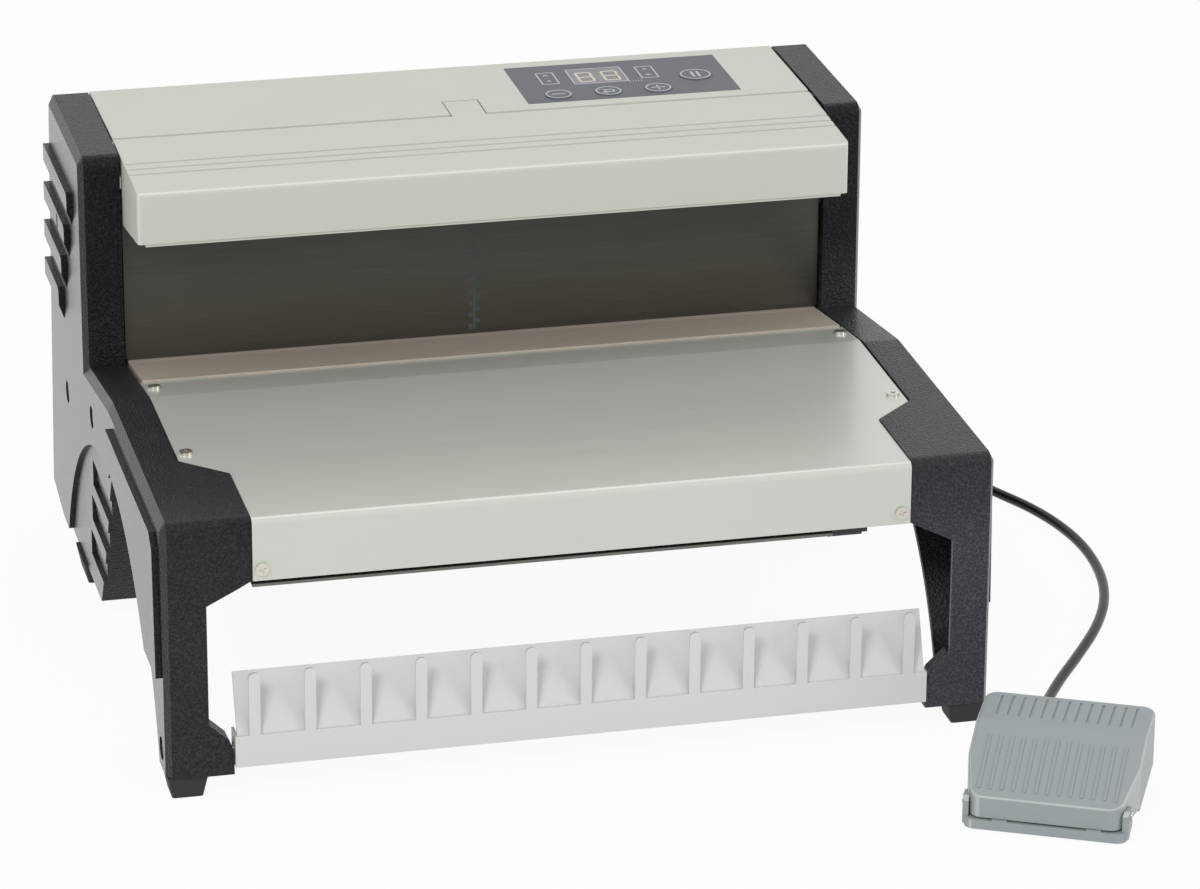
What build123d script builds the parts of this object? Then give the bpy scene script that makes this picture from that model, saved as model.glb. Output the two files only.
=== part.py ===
"""Electric closing machine for wire-bound books, with its foot pedal.

The machine stands on four feet. Its two side casings carry a flat table in
front and a tall column behind. A steel press plate slides down in the column
onto a sloping anvil strip, under a hood that hinges up at its ridge.
All sizes are millimetres. The machine's own centre line, column front and
floor are the datum of every place below, and the origin of the finished part
is the middle of the machine and its pedal, on the floor.
"""

import math
import os

from build123d import *

os.makedirs("parts", exist_ok=True)

# Sizes of the side casings
body_width = 382.0
casing_depth = 19.4
casing_wall = 2.6
top_height = 227.0
column_rear = 102.0
foot_rear = 129.0
foot_rear_height = 18.0
pad_height = 133.4
pad_slope_front = -75.0
slope_drop = 10.4
front_y = -226.0
foot_pad_height = 10.4
rim_bevel_in_face = 4.6
rim_bevel_depth = 2.4
edge_round = 5.2
front_leg_rear = -205.0
rear_leg_front = -20.0
rear_leg_rear = 90.0
arch_height = 104.0
arch_peak_y = -95.0
pad_reach = 20.6
pad_rear = -172.6
pad_shoulder = -152.7
pad_drop = 30.0
boss_reach = 11.1
boss_height = 35.6
boss_depth = 10.0
step_depth = 2.0
panel_depth = 2.5
leg_panel_low = 56.0
louvre_count = 4
louvre_pitch = 20.4
louvre_drop = 26.4
louvre_front = 26.6
louvre_front_step = 12.9
louvre_land = 8.5
louvre_foot = 15.5
louvre_corner = 4.0
slot_count = 3
slot_height = 13.0
slot_pitch = 20.3
slot_low = 23.6
hole_radius = 5.5
hole_depth = 2.0
casing_holes = ((62.3, 86.8), (-19.2, 104.8), (-212.0, 20.1))

# Sizes of the hood and covers
cover_wall = 2.5
side_gap = 1.1
ridge_y = 27.5
hood_front = -46.0
hood_front_drop = 3.2
hood_front_height = 25.1
hood_side_rear = 3.6
hood_side_drop = 35.0
hinge_bead = 2.2
hinge_pin_radius = 1.25
hinge_fit = 0.05
pin_reach = 12.0
seam_gap = 0.6
rear_lip_drop = 18.0
tongue_width = 16.6
tongue_x = 1.6
tongue_length = 20.5
groove_width = 1.7
groove_depth = 0.6
groove_pitch = 7.1
groove_first = -7.5

# Sizes of the control panel
panel_left = 33.0
panel_width = 106.0
panel_front = 35.8
panel_length = 56.6
overlay_thick = 0.6
key_radius = 6.9
pause_radius = 8.4
key_rise = 10.8
key_inset = 17.3
key_pitch = 24.9
pause_inset = 89.9
pause_rise = 27.2
key_proud = 0.4
key_fit = 0.08
window_inset = 42.4
window_rise = 36.2
window_width = 26.2
window_length = 21.8

# Sizes of the table and the working slot
table_drop = 0.6
sheet_wall = 1.2
table_rear = -40.4
apron_rise = 3.8
apron_proud = 0.8
upper_screw_y = -53.5
sheet_bend = 3.0
anvil_rear = 20.0
anvil_drop = 0.2
anvil_wall = 10.8
anvil_gap = 1.0
plate_face = 4.5
plate_wall = 2.0
plate_gap = 0.5
bar_wall = 12.0
press_travel = 28.0
switch_room = 22.0
pan_wall = 1.4
pan_setback = 1.6
pan_notch = 36.0
back_inset = 2.3

# Sizes of the drive
gear_module = 1.0
pinion_teeth = 24
wheel_teeth = 44
motor_teeth = 16
tooth_backlash = 0.15
shaft_radius = 5.0
shaft_fit = 0.04
shaft_drop = 63.0
rack_inset = 30.0
rack_width = 8.0
wheel_x = 70.0
rod_inset = 32.0
rod_y = 28.0
rod_radius = 5.0
motor_shaft_radius = 3.0
gear_width = 8.0
gear_addendum = 0.9
frame_wall = 2.0
frame_gap = 0.4
beam_depth = 11.0
motor_radius = 16.5
motor_length = 66.0

# Sizes of the wire rack
rack_proud = 2.2
rack_low = 14.5
rack_lip_top = 29.6
rack_fit = 0.3
finger_count = 13
finger_margin = 8.9
finger_width = 5.1
finger_top = 59.8
rack_back_top = 56.4
rack_back_lean = 10.5
rack_screw_inset = 5.0
rack_screw_z = 21.0

# Sizes of the foot pedal
pedal_x = 195.0
pedal_y = -317.0
pedal_turn = -27.0
pedal_width = 77.6
pedal_near_width = 67.0
pedal_length = 70.0
pedal_taper = 24.5
pedal_corner = 6.5
pedal_wall = 2.4
pedal_near_top = 16.5
pedal_crest = 35.0
pedal_far_top = 37.0
pedal_crest_y = 7.5
skirt_gap = 1.0
skirt_far = 12.5
base_half = 36.5
base_toe = 36.0
base_corner = 5.0
pedal_base_near = 5.7
pedal_base_far = 14.0
pedal_pivot_y = -28.0
pedal_pivot_z = 11.6
pedal_pin_radius = 2.0
pedal_pin_fit = 0.06
pedal_gland_x = -21.5
pedal_gland_z = 6.5
pedal_gland_length = 20.0

# Sizes of the pedal's cord
cord_diameter = 5.0
cord_rest = 0.1
gland_length = 24.0
gland_radius = 4.4
gland_tip_radius = 3.1
cord_x = -40.0
cord_exit_z = 116.0
coil_x = 60.0
coil_radius = 34.5
coil_pitch = 5.6
coil_layer = 5.5
coil_turns = 3
tie_wall = 1.0
tie_width = 6.0

# Sizes of the screws
screw_head = 3.0
screw_head_rise = 1.3
screw_shank = 1.5

# Values worked out from the sizes above
half_width = body_width / 2
inner_half = half_width - casing_depth
cover_half = inner_half - side_gap
frame_inner = inner_half + frame_gap
pad_inner = inner_half - pad_reach
anvil_half = cover_half - anvil_gap
rack_half = inner_half - boss_reach - rack_fit
finger_pitch = 2 * (rack_half - finger_margin) / (finger_count - 1)
rod_x = frame_inner - rod_inset
rack_x = rod_x - rack_inset
floor_gap = foot_pad_height
machine_left = half_width + panel_depth
turn = math.radians(pedal_turn)
pedal_half_x = (
    (pedal_width / 2 - pedal_corner) * math.cos(turn)
    + (pedal_length / 2 - pedal_corner) * abs(math.sin(turn))
    + pedal_corner
)
pedal_half_y = (
    (base_half - base_corner) * abs(math.sin(turn))
    + (base_toe - base_corner) * math.cos(turn)
    + base_corner
)
machine_x = -(max(pedal_x + pedal_half_x, machine_left) - machine_left) / 2
machine_y = -(foot_rear + (pedal_y - pedal_half_y)) / 2
slope_rate = slope_drop / -pad_slope_front
column_base = pad_height - slope_drop
table_height = pad_height - table_drop
anvil_flat = column_base - anvil_drop
anvil_low = anvil_flat - anvil_wall
plate_low = anvil_flat + plate_gap
beam_low = anvil_low - beam_depth
pan_low = beam_low - pan_wall
apron_low = pan_low + apron_rise
apron_face = front_y - apron_proud
rack_face = front_y - rack_proud
rack_screw_y = front_y + rack_screw_inset
pan_front = front_y + pan_setback
pan_right_end = pad_inner - pan_notch
ridge_height = top_height - 0.5
hinge_y = ridge_y - hinge_bead
hinge_z = ridge_height - hinge_bead
hood_front_top = top_height - hood_front_drop
hood_front_low = hood_front_top - hood_front_height
hood_side_low = top_height - hood_side_drop
plate_top = hood_side_low
rear_cover_front = ridge_y + seam_gap / 2
rear_lip_low = top_height - rear_lip_drop
louvre_top = top_height - louvre_drop
cover_height = ridge_height + 0.1
cover_under = cover_height - cover_wall
back_face = column_rear - back_inset
back_inner = back_face - sheet_wall
pan_rear = back_inner - 1.1
frame_rear = column_rear - 4.0
frame_top = cover_under - 3.1
shaft_height = top_height - shaft_drop
block_low = plate_top + 12.0
bar_top = block_low - press_travel - switch_room
key_first_x = panel_left + key_inset
key_y = panel_front + key_rise
pause_x = panel_left + pause_inset
pause_y = panel_front + pause_rise
window_x = panel_left + window_inset
window_y = panel_front + window_rise
shaft_y = rod_y + 15.0
motor_y = shaft_y + gear_module * (wheel_teeth + motor_teeth) / 2
cord_radius = cord_diameter / 2
cord_floor = cord_radius + cord_rest
coil_low = cord_floor + tie_wall + cord_rest
coil_high = coil_low + coil_layer
coil_y = 203.0 + coil_radius


def at(x, y, z):
    """A point in the machine's own frame."""
    return Vector(machine_x + x, machine_y + y, z)


def side_plane(x):
    """Sketch plane across the machine: first axis back, second axis up."""
    return Plane(origin=at(x, 0, 0), x_dir=(0, 1, 0), z_dir=(1, 0, 0))


def front_plane(y):
    """Sketch plane facing the user: first axis right, second axis up."""
    return Plane(origin=at(0, y, 0), x_dir=(1, 0, 0), z_dir=(0, -1, 0))


def level_plane(z):
    """Level sketch plane: first axis right, second axis back."""
    return Plane(origin=at(0, 0, z), x_dir=(1, 0, 0), z_dir=(0, 0, 1))


middle = Plane(origin=at(0, 0, 0), x_dir=(0, 1, 0), z_dir=(1, 0, 0))


def slab(x_range, y_range, z_range, mode=Mode.ADD):
    """A block between two corners, in the machine's own frame."""
    size = [high - low for low, high in (x_range, y_range, z_range)]
    centre = [(low + high) / 2 for low, high in (x_range, y_range, z_range)]
    with Locations(at(*centre)):
        Box(*size, mode=mode)


def prism(plane, points, amount, mode=Mode.ADD):
    """A straight-sided outline pushed along its plane's normal."""
    with BuildSketch(plane) as outline:
        with BuildLine():
            Polyline(*points, close=True)
        make_face()
    extrude(outline.sketch, amount=amount, mode=mode)


def rod(plane, radius, amount, places=((0, 0),), mode=Mode.ADD):
    """Round rods standing on a plane."""
    with BuildSketch(plane) as rounds:
        with Locations(*places):
            Circle(radius)
    extrude(rounds.sketch, amount=amount, mode=mode)


def finish(piece, name):
    """Label a finished piece and write it under its name."""
    piece.part.label = name
    export_step(piece.part, f"parts/{name}.step")


def top_of_slope(y):
    """Height of the sloping strip between the pads and the column."""
    return column_base - slope_rate * y


# Side casings
def casing_outline(x, inset=0.0):
    """Side view of a casing at a place across, with the arch between its two legs."""
    with BuildSketch(side_plane(x)) as outline:
        with BuildLine():
            Polyline(
                (front_leg_rear, floor_gap),
                (front_y, floor_gap),
                (front_y, pad_height),
                (pad_slope_front, pad_height),
                (0, column_base),
                (0, top_height),
                (column_rear, top_height),
                (foot_rear, foot_rear_height),
                (rear_leg_rear, floor_gap),
                (rear_leg_front, floor_gap),
            )
            lean = (arch_height + floor_gap) / 2
            shoulder = (rear_leg_front - 39, arch_height - 24)
            ThreePointArc((rear_leg_front, floor_gap), (rear_leg_front - 26, lean - 4), shoulder)
            ThreePointArc(shoulder, (arch_peak_y + 21, arch_height - 6), (arch_peak_y, arch_height))
            ThreePointArc(
                (arch_peak_y, arch_height), (front_leg_rear + 39, lean + 15), (front_leg_rear, floor_gap)
            )
        make_face()
        if inset:
            offset(amount=-inset, kind=Kind.INTERSECTION, mode=Mode.REPLACE)
    return outline.sketch


def rear_face_y(z):
    """Rear edge of a casing at a height."""
    share = (top_height - z) / (top_height - foot_rear_height)
    return column_rear + share * (foot_rear - column_rear)


with BuildPart() as casing_left:
    extrude(casing_outline(-half_width), amount=casing_depth)
    # The pads beside the table, whose lower front corners slope back to the legs
    with BuildSketch(level_plane(pad_height - pad_drop - 12)):
        with BuildLine():
            Polyline(
                (-inner_half - 1, front_y),
                (-pad_inner, front_y),
                (-pad_inner, pad_rear),
                (-inner_half, pad_shoulder),
                (-inner_half - 1, pad_shoulder),
                close=True,
            )
        make_face()
    extrude(amount=pad_drop + 12)
    corner = pad_height - pad_drop
    prism(
        front_plane(pad_shoulder + 1),
        [(-inner_half, corner - 10.6), (-pad_inner - 6.8, corner - 3.7), (-pad_inner, corner),
         (-pad_inner + 1, corner), (-pad_inner + 1, corner - 13), (-inner_half, corner - 13)],
        pad_shoulder + 2 - front_y,
        Mode.SUBTRACT,
    )
    # The bosses at the foot of the front legs, which hold the wire rack
    prism(
        front_plane(front_y + boss_depth),
        [(-inner_half - 1, floor_gap), (-inner_half + boss_reach, floor_gap),
         (-inner_half + boss_reach, boss_height - 14), (-inner_half + boss_reach - 2.6, boss_height - 8),
         (-inner_half, boss_height), (-inner_half - 1, boss_height)],
        boss_depth,
    )
    # Rounded front edges of the pad and of the column's top
    fronts = casing_left.edges().filter_by(Axis.X).filter_by(
        lambda e: abs(e.center().Z - pad_height) < 0.1 and abs(e.center().Y - machine_y - front_y) < 0.1
    )
    tops = casing_left.edges().filter_by(Axis.X).filter_by(
        lambda e: abs(e.center().Z - top_height) < 0.1
    )
    bends = casing_left.edges().filter_by(Axis.X).filter_by(
        lambda e: abs(e.center().Y - machine_y - pad_slope_front) < 0.1
        and abs(e.center().Z - pad_height) < 0.1
    )
    fillet(fronts + tops, edge_round)
    fillet(bends, 3 * edge_round)
    # The bevel round the outer face, all along its upper rim
    outer_face = casing_left.faces().sort_by(Axis.X)[0]
    rim = outer_face.outer_wire().edges().filter_by(
        lambda e: e.center().Z > arch_height + 1
        or (e.center().Z > floor_gap + 1 and abs(e.center().Y - machine_y - front_y) < 1)
    )
    chamfer(rim, length=rim_bevel_in_face, length2=rim_bevel_depth, reference=outer_face)
    # The hollow inside, open towards the machine
    hollow = casing_outline(-inner_half, casing_wall)
    extrude(hollow, amount=-(casing_depth - casing_wall - step_depth), mode=Mode.SUBTRACT)
    slab(
        (-inner_half - casing_wall, -pad_inner - casing_wall),
        (front_y + casing_wall, pad_rear - casing_wall),
        (corner - 20, pad_height - casing_wall),
        Mode.SUBTRACT,
    )
    # The stepped-in face of the rear leg, below a long curved step
    with BuildSketch(side_plane(-half_width)):
        with BuildLine():
            step_top = arch_height - 11
            step_rear = rear_leg_rear - 14
            step_low = floor_gap - 6.4
            Polyline(
                (step_rear, step_low), (pad_slope_front, step_low), (pad_slope_front, step_top),
                (rear_leg_front - 10, step_top),
            )
            ThreePointArc(
                (rear_leg_front - 10, step_top), (step_rear - 46, step_top - 28), (step_rear, step_low)
            )
        make_face()
    extrude(amount=step_depth, mode=Mode.SUBTRACT)
    # Wedge slots cut into the rear leg from its front edge
    for row in range(slot_count):
        low = slot_low + row * slot_pitch
        rear = 8.0 - 6.0 * row
        prism(
            front_plane(rear),
            [(-half_width + step_depth - 1, low), (-half_width + step_depth + 2.1, low),
             (-half_width + step_depth + 0.8, low + slot_height),
             (-half_width + step_depth - 1, low + slot_height)],
            70,
            Mode.SUBTRACT,
        )
    # Louvres on the column, each proud along its top and front
    for row in range(louvre_count):
        top = louvre_top - row * louvre_pitch
        front = louvre_front + row * louvre_front_step
        rear = rear_face_y(top) - 1
        with BuildPart(mode=Mode.PRIVATE) as louvre:
            prism(
                front_plane(rear),
                [(-half_width + 0.5, top), (-half_width - panel_depth, top),
                 (-half_width - panel_depth, top - louvre_land), (-half_width, top - louvre_foot),
                 (-half_width + 0.5, top - louvre_foot)],
                rear - front,
            )
            tips = louvre.edges().filter_by(Axis.X).filter_by(
                lambda e: abs(e.center().Y - machine_y - front) < 0.1 and abs(e.center().Z - top) < 0.1
            )
            fillet(tips, louvre_corner)
        add(louvre.part)
    # The long raised panel of the front leg
    with BuildSketch(side_plane(-half_width)):
        with BuildLine():
            panel_rear = pad_slope_front - 5
            panel_top = pad_height - 10.9
            Polyline(
                (panel_rear, panel_top), (front_y + 20, panel_top), (front_y + 13, panel_top - 6),
                (front_y + 10, leg_panel_low), (front_leg_rear + 22, leg_panel_low),
            )
            ThreePointArc(
                (front_leg_rear + 22, leg_panel_low), (front_leg_rear + 50, arch_height - 23),
                (panel_rear, arch_height + 1),
            )
            Line((panel_rear, arch_height + 1), (panel_rear, panel_top))
        make_face()
    extrude(amount=-panel_depth)
    # Sunk screw holes, and the slot hole among the louvres
    rod(side_plane(-half_width - 1), hole_radius, hole_depth + 1, casing_holes, Mode.SUBTRACT)
    with BuildSketch(side_plane(-half_width - panel_depth - 1)) as slot_hole:
        with Locations((column_rear - 40, top_height - 53.2)):
            SlotOverall(10.5, 3.2, rotation=90)
    extrude(slot_hole.sketch, amount=panel_depth + 4, mode=Mode.SUBTRACT)
    # Boss for the hood's hinge pin, and the holes for the pin and the rack's screw
    rod(side_plane(-inner_half - 9), hinge_bead + 0.4, 9, ((hinge_y, hinge_z),))
    rod(side_plane(-inner_half - 6), hinge_pin_radius, 7, ((hinge_y, hinge_z),), Mode.SUBTRACT)
    rod(side_plane(-inner_half), screw_shank, boss_reach + 1, ((rack_screw_y, rack_screw_z),), Mode.SUBTRACT)
finish(casing_left, "casing_left")

with BuildPart() as casing_right:
    mirror(casing_left.part, about=middle)
finish(casing_right, "casing_right")


# Screws and frame
def pan_screw(plane, shank):
    """A pan-head screw with a cross recess, standing on a plane and reaching below it."""
    with BuildSketch(plane) as head:
        Circle(screw_head)
    extrude(head.sketch, amount=screw_head_rise)
    for spin in (0, 90):
        with BuildSketch(plane.offset(screw_head_rise)) as cross:
            Rectangle(3.4, 0.7, rotation=spin + 20)
        extrude(cross.sketch, amount=-0.7, mode=Mode.SUBTRACT)
    with BuildSketch(plane) as stem:
        Circle(screw_shank)
    extrude(stem.sketch, amount=-shank)


def drill(plane, depth, radius=screw_shank):
    """A screw hole down from a plane."""
    with BuildSketch(plane) as hole:
        Circle(radius)
    extrude(hole.sketch, amount=-depth, mode=Mode.SUBTRACT)


rail_top = table_height - sheet_wall
frame_outline = [
    (-150.0, beam_low + 7), (-70.0, beam_low + 7), (-62.0, beam_low), (frame_rear, beam_low),
    (frame_rear, frame_top), (4.0, frame_top), (4.0, column_base - 4.4), (pad_slope_front, rail_top - 3),
    (-150.0, rail_top - 3),
]

with BuildPart() as frame_left:
    prism(side_plane(-frame_inner - frame_wall), frame_outline, frame_wall)
    rod(
        side_plane(-frame_inner - frame_wall - 1), 14.0, frame_wall + 2,
        ((30.0, beam_low + 25), (72.0, frame_top - 27)), Mode.SUBTRACT,
    )
finish(frame_left, "frame_left")

with BuildPart() as frame_right:
    mirror(frame_left.part, about=middle)
finish(frame_right, "frame_right")

with BuildPart() as tie_bars:
    # Brackets under the rear cover, and the bars that join the two frame plates
    for side in (-1, 1):
        across = sorted((side * (frame_inner - 12), side * frame_inner))
        slab(across, (60.0, back_inner - 0.1), (cover_under - 6, cover_under))
        slab(across, (back_inner - 2.5, back_inner), (beam_low, cover_under - 6))
    slab((-frame_inner, frame_inner), (back_inner - 6.5, back_inner - 2.5), (beam_low, beam_low + 8))
finish(tie_bars, "tie_bars")

with BuildPart() as cross_beam:
    slab((-frame_inner, frame_inner), (-10.0, 40.0), (beam_low, anvil_low))
    hollow_half = frame_inner - 22
    slab((-hollow_half, hollow_half), (-6.0, 36.0), (beam_low - 1, anvil_low - 3), Mode.SUBTRACT)
finish(cross_beam, "cross_beam")

with BuildPart() as base_pan:
    prism(
        level_plane(pan_low),
        [(-pad_inner + 0.4, pan_front), (-pad_inner + 0.4, pad_rear - 0.4),
         (-cover_half, pad_shoulder + 0.4), (-cover_half, pan_rear), (cover_half, pan_rear),
         (cover_half, pad_shoulder + 0.4), (pad_inner - 0.4, pad_rear - 0.4), (pad_inner - 0.4, front_y + 36),
         (pan_right_end, front_y + 36), (pan_right_end, pan_front)],
        pan_wall,
    )
finish(base_pan, "base_pan")

with BuildPart() as pan_block:
    slab(
        (pan_right_end, pan_right_end + 16.6), (front_y + 3, front_y + 35), (pan_low + 0.2, apron_low - 0.2)
    )
finish(pan_block, "pan_block")

# Table and anvil
table_half = inner_half - 0.9
table_pad = pad_inner - 0.3
screw_x = table_half - 4.7
table_screw_planes = []
for side in (-1, 1):
    table_screw_planes.append(Plane(
        origin=at(side * screw_x, upper_screw_y, top_of_slope(upper_screw_y)), x_dir=(1, 0, 0),
        z_dir=(0, slope_rate, 1)
    ))
    table_screw_planes.append(Plane(
        origin=at(side * screw_x, -143.5, table_height), x_dir=(1, 0, 0), z_dir=(0, 0, 1)
    ))
apron_screw_planes = [
    Plane(
        origin=at(side * (pad_inner - 4.5), apron_face, apron_low + 5.8), x_dir=(1, 0, 0), z_dir=(0, -1, 0)
    )
    for side in (-1, 1)
]
slope_start = -(table_height - column_base) / slope_rate

with BuildPart() as table_cover:
    with BuildSketch(side_plane(-table_half)) as sheet:
        with BuildLine():
            Polyline((apron_face, apron_low), (apron_face, table_height - sheet_bend))
            RadiusArc(
                (apron_face, table_height - sheet_bend), (apron_face + sheet_bend, table_height), sheet_bend
            )
            Polyline(
                (apron_face + sheet_bend, table_height), (slope_start, table_height),
                (table_rear, top_of_slope(table_rear)), (table_rear, top_of_slope(table_rear) - sheet_wall),
                (slope_start, table_height - sheet_wall),
                (apron_face + sheet_bend, table_height - sheet_wall),
            )
            RadiusArc(
                (apron_face + sheet_bend, table_height - sheet_wall),
                (apron_face + sheet_wall, table_height - sheet_bend), -(sheet_bend - sheet_wall),
            )
            Polyline(
                (apron_face + sheet_wall, table_height - sheet_bend), (apron_face + sheet_wall, apron_low),
                (apron_face, apron_low),
            )
        make_face()
    extrude(sheet.sketch, amount=2 * table_half)
    with BuildSketch(level_plane(apron_low - 1)) as plan:
        with BuildLine():
            Polyline(
                (-table_pad, apron_face - 1), (-table_pad, pad_rear + 0.1), (-table_half, pad_shoulder + 0.1),
                (-table_half, table_rear + 1), (table_half, table_rear + 1), (table_half, pad_shoulder + 0.1),
                (table_pad, pad_rear + 0.1), (table_pad, apron_face - 1), close=True,
            )
        make_face()
    extrude(plan.sketch, amount=40, mode=Mode.INTERSECT)
    for place in table_screw_planes:
        drill(place.offset(1), 4)
    for place in apron_screw_planes:
        drill(place.offset(1), 4)
finish(table_cover, "table_cover")

with BuildPart() as table_screws:
    for place in table_screw_planes:
        pan_screw(place, sheet_wall + 2.0)
    for place in apron_screw_planes:
        pan_screw(place, sheet_wall + 6.0)
finish(table_screws, "table_screws")

with BuildPart() as deck_rails:
    rail_low = anvil_low - 2
    rail_inner = frame_inner - 14
    rail_end = rail_top + slope_rate * (slope_start + 50.0)
    slab((-frame_inner, frame_inner), (-146.0, -138.0), (rail_low, rail_low + 12))
    for side in (-1, 1):
        low = min(side * rail_inner, side * cover_half)
        prism(
            side_plane(low),
            [(-151.0, rail_top - 2), (-151.0, rail_top), (slope_start, rail_top),
             (-50.0, rail_end), (-50.0, rail_end - 2), (slope_start, rail_top - 2)],
            cover_half - rail_inner,
        )
        web = min(side * (cover_half - 2), side * cover_half)
        prism(
            side_plane(web),
            [(-151.0, rail_low), (-151.0, rail_top - 1), (slope_start, rail_top - 1),
             (-50.0, rail_end - 1), (-50.0, rail_low)],
            2.0,
        )
    for place in table_screw_planes:
        drill(place, 4)
    # Two posts at the front hold the apron's screws
    for side in (-1, 1):
        slab(
            sorted((side * (pad_inner - 9), side * (pad_inner - 0.6))), (apron_face + sheet_wall, -146.0),
            (apron_low + 1.6, apron_low + 10.1),
        )
    for place in apron_screw_planes:
        drill(place, 9)
finish(deck_rails, "deck_rails")

with BuildPart() as anvil_strip:
    prism(
        side_plane(-anvil_half),
        [(table_rear + 0.2, anvil_low), (table_rear + 0.2, top_of_slope(table_rear) + 0.8),
         (-0.5, anvil_flat + 0.5), (-0.5, anvil_flat), (anvil_rear, anvil_flat), (anvil_rear, anvil_low)],
        2 * anvil_half,
    )
    # Relief below the front of the strip
    relief_half = anvil_half - 19.5
    slab((-relief_half, relief_half), (table_rear, -14.0), (anvil_low - 1, anvil_low + 11), Mode.SUBTRACT)
finish(anvil_strip, "anvil_strip")

# Hood, hinged at its ridge
hood_rate = (ridge_height - hood_front_top) / (hinge_y - hood_front)


def hood_top(y):
    """Height of the hood's top skin."""
    return hood_front_top + hood_rate * (y - hood_front)


with BuildPart() as front_hood:
    prism(
        side_plane(-cover_half),
        [(hood_front, hood_front_low), (hood_front, hood_front_top), (hinge_y, ridge_height),
         (hinge_y, ridge_height - cover_wall), (hood_side_rear, hood_top(hood_side_rear) - cover_wall),
         (hood_side_rear, hood_side_low)],
        2 * cover_half,
    )
    edges = front_hood.edges().filter_by(Axis.X).filter_by(
        lambda e: abs(e.center().Y - machine_y - hood_front) < 0.1 and e.center().Z > hood_front_top - 1
    )
    corners = front_hood.edges().filter_by(Axis.Z).filter_by(
        lambda e: abs(e.center().Y - machine_y - hood_front) < 0.1
    )
    fillet(edges + corners, 2.2)
    inner_front = hood_front + cover_wall
    prism(
        side_plane(-cover_half + cover_wall),
        [(inner_front, hood_side_low - 5), (inner_front, hood_top(inner_front) - cover_wall),
         (hood_side_rear + 1, hood_top(hood_side_rear + 1) - cover_wall),
         (hood_side_rear + 1, hood_side_low - 5)],
        2 * (cover_half - cover_wall),
        Mode.SUBTRACT,
    )
    slab(
        (-cover_half + 3.5, cover_half - 3.5), (hood_front + 0.8, inner_front + 0.6),
        (hood_front_low - 1.5, hood_front_low + 2),
    )
    rod(side_plane(-cover_half), hinge_bead, 2 * cover_half, ((hinge_y, hinge_z),))
    for low in (-cover_half - 1, cover_half - pin_reach):
        rod(
            side_plane(low), hinge_pin_radius + hinge_fit, pin_reach + 1, ((hinge_y, hinge_z),), Mode.SUBTRACT
        )
    for row in range(3):
        y = groove_first - row * groove_pitch
        slab(
            (-cover_half - 1, cover_half + 1), (y - groove_width / 2, y + groove_width / 2),
            (hood_top(y) - groove_depth, hood_top(y) + 1), Mode.SUBTRACT,
        )
    slab(
        (tongue_x - tongue_width / 2, tongue_x + tongue_width / 2), (hinge_y, ridge_y + tongue_length),
        (cover_under + 0.2, ridge_height),
    )
finish(front_hood, "front_hood")

with BuildPart() as hinge_pins:
    pin_length = inner_half + 6 - cover_half + pin_reach - 1
    for low in (-inner_half - 6, cover_half - pin_reach + 1):
        rod(side_plane(low), hinge_pin_radius, pin_length, ((hinge_y, hinge_z),))
finish(hinge_pins, "hinge_pins")

# Rear cover with the control panel
key_places = [
    ("key_minus", key_first_x, key_y, key_radius),
    ("key_return", key_first_x + key_pitch, key_y, key_radius),
    ("key_plus", key_first_x + 2 * key_pitch, key_y, key_radius),
    ("key_pause", pause_x, pause_y, pause_radius),
]
panel_x = (panel_left, panel_left + panel_width)
panel_y = (panel_front, panel_front + panel_length)
window = (
    (window_x - window_width / 2, window_x + window_width / 2),
    (window_y - window_length / 2, window_y + window_length / 2),
)
board_top = cover_under - 7.1

with BuildPart() as rear_top_cover:
    prism(
        side_plane(-cover_half),
        [(rear_cover_front, cover_under), (rear_cover_front, cover_height), (column_rear + 0.3, cover_height),
         (column_rear + 0.3, rear_lip_low), (back_face + 0.1, rear_lip_low), (back_face + 0.1, cover_under)],
        2 * cover_half,
    )
    edges = rear_top_cover.edges().filter_by(Axis.X).filter_by(
        lambda e: abs(e.center().Y - machine_y - column_rear - 0.3) < 0.1
        and e.center().Z > cover_height - 0.1
    )
    fillet(edges, 2.0)
    slab(
        (tongue_x - tongue_width / 2 - seam_gap, tongue_x + tongue_width / 2 + seam_gap),
        (rear_cover_front - 1, ridge_y + tongue_length + seam_gap), (cover_under - 1, cover_height + 1),
        Mode.SUBTRACT,
    )
    slab(panel_x, panel_y, (cover_height - overlay_thick + 0.1, cover_height + 1), Mode.SUBTRACT)
    for name, x, y, radius in key_places:
        rod(level_plane(cover_under - 1), radius + key_fit, 4, ((x, y),), Mode.SUBTRACT)
    slab(*window, (cover_under - 1, cover_height + 1), Mode.SUBTRACT)
    # Four bosses carry the control board
    rod(
        level_plane(board_top), 3.0, cover_under - board_top,
        [(x, y) for x in (panel_x[0] + 4, panel_x[1] - 4) for y in (panel_y[0] + 8.7, panel_y[1] - 7.9)],
    )
finish(rear_top_cover, "rear_top_cover")

with BuildPart() as control_overlay:
    slab(panel_x, panel_y, (cover_height - overlay_thick + 0.1, cover_height + 0.1))
    corners = control_overlay.edges().filter_by(Axis.Z)
    fillet(corners, 0.8)
    for name, x, y, radius in key_places:
        rod(level_plane(cover_under - 1), radius + key_fit, 6, ((x, y),), Mode.SUBTRACT)
    slab(*window, (cover_under - 1, cover_height + 1), Mode.SUBTRACT)
finish(control_overlay, "control_overlay")

with BuildPart() as display_window:
    slab(*window, (cover_under, cover_height + 0.1))
finish(display_window, "display_window")

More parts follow.
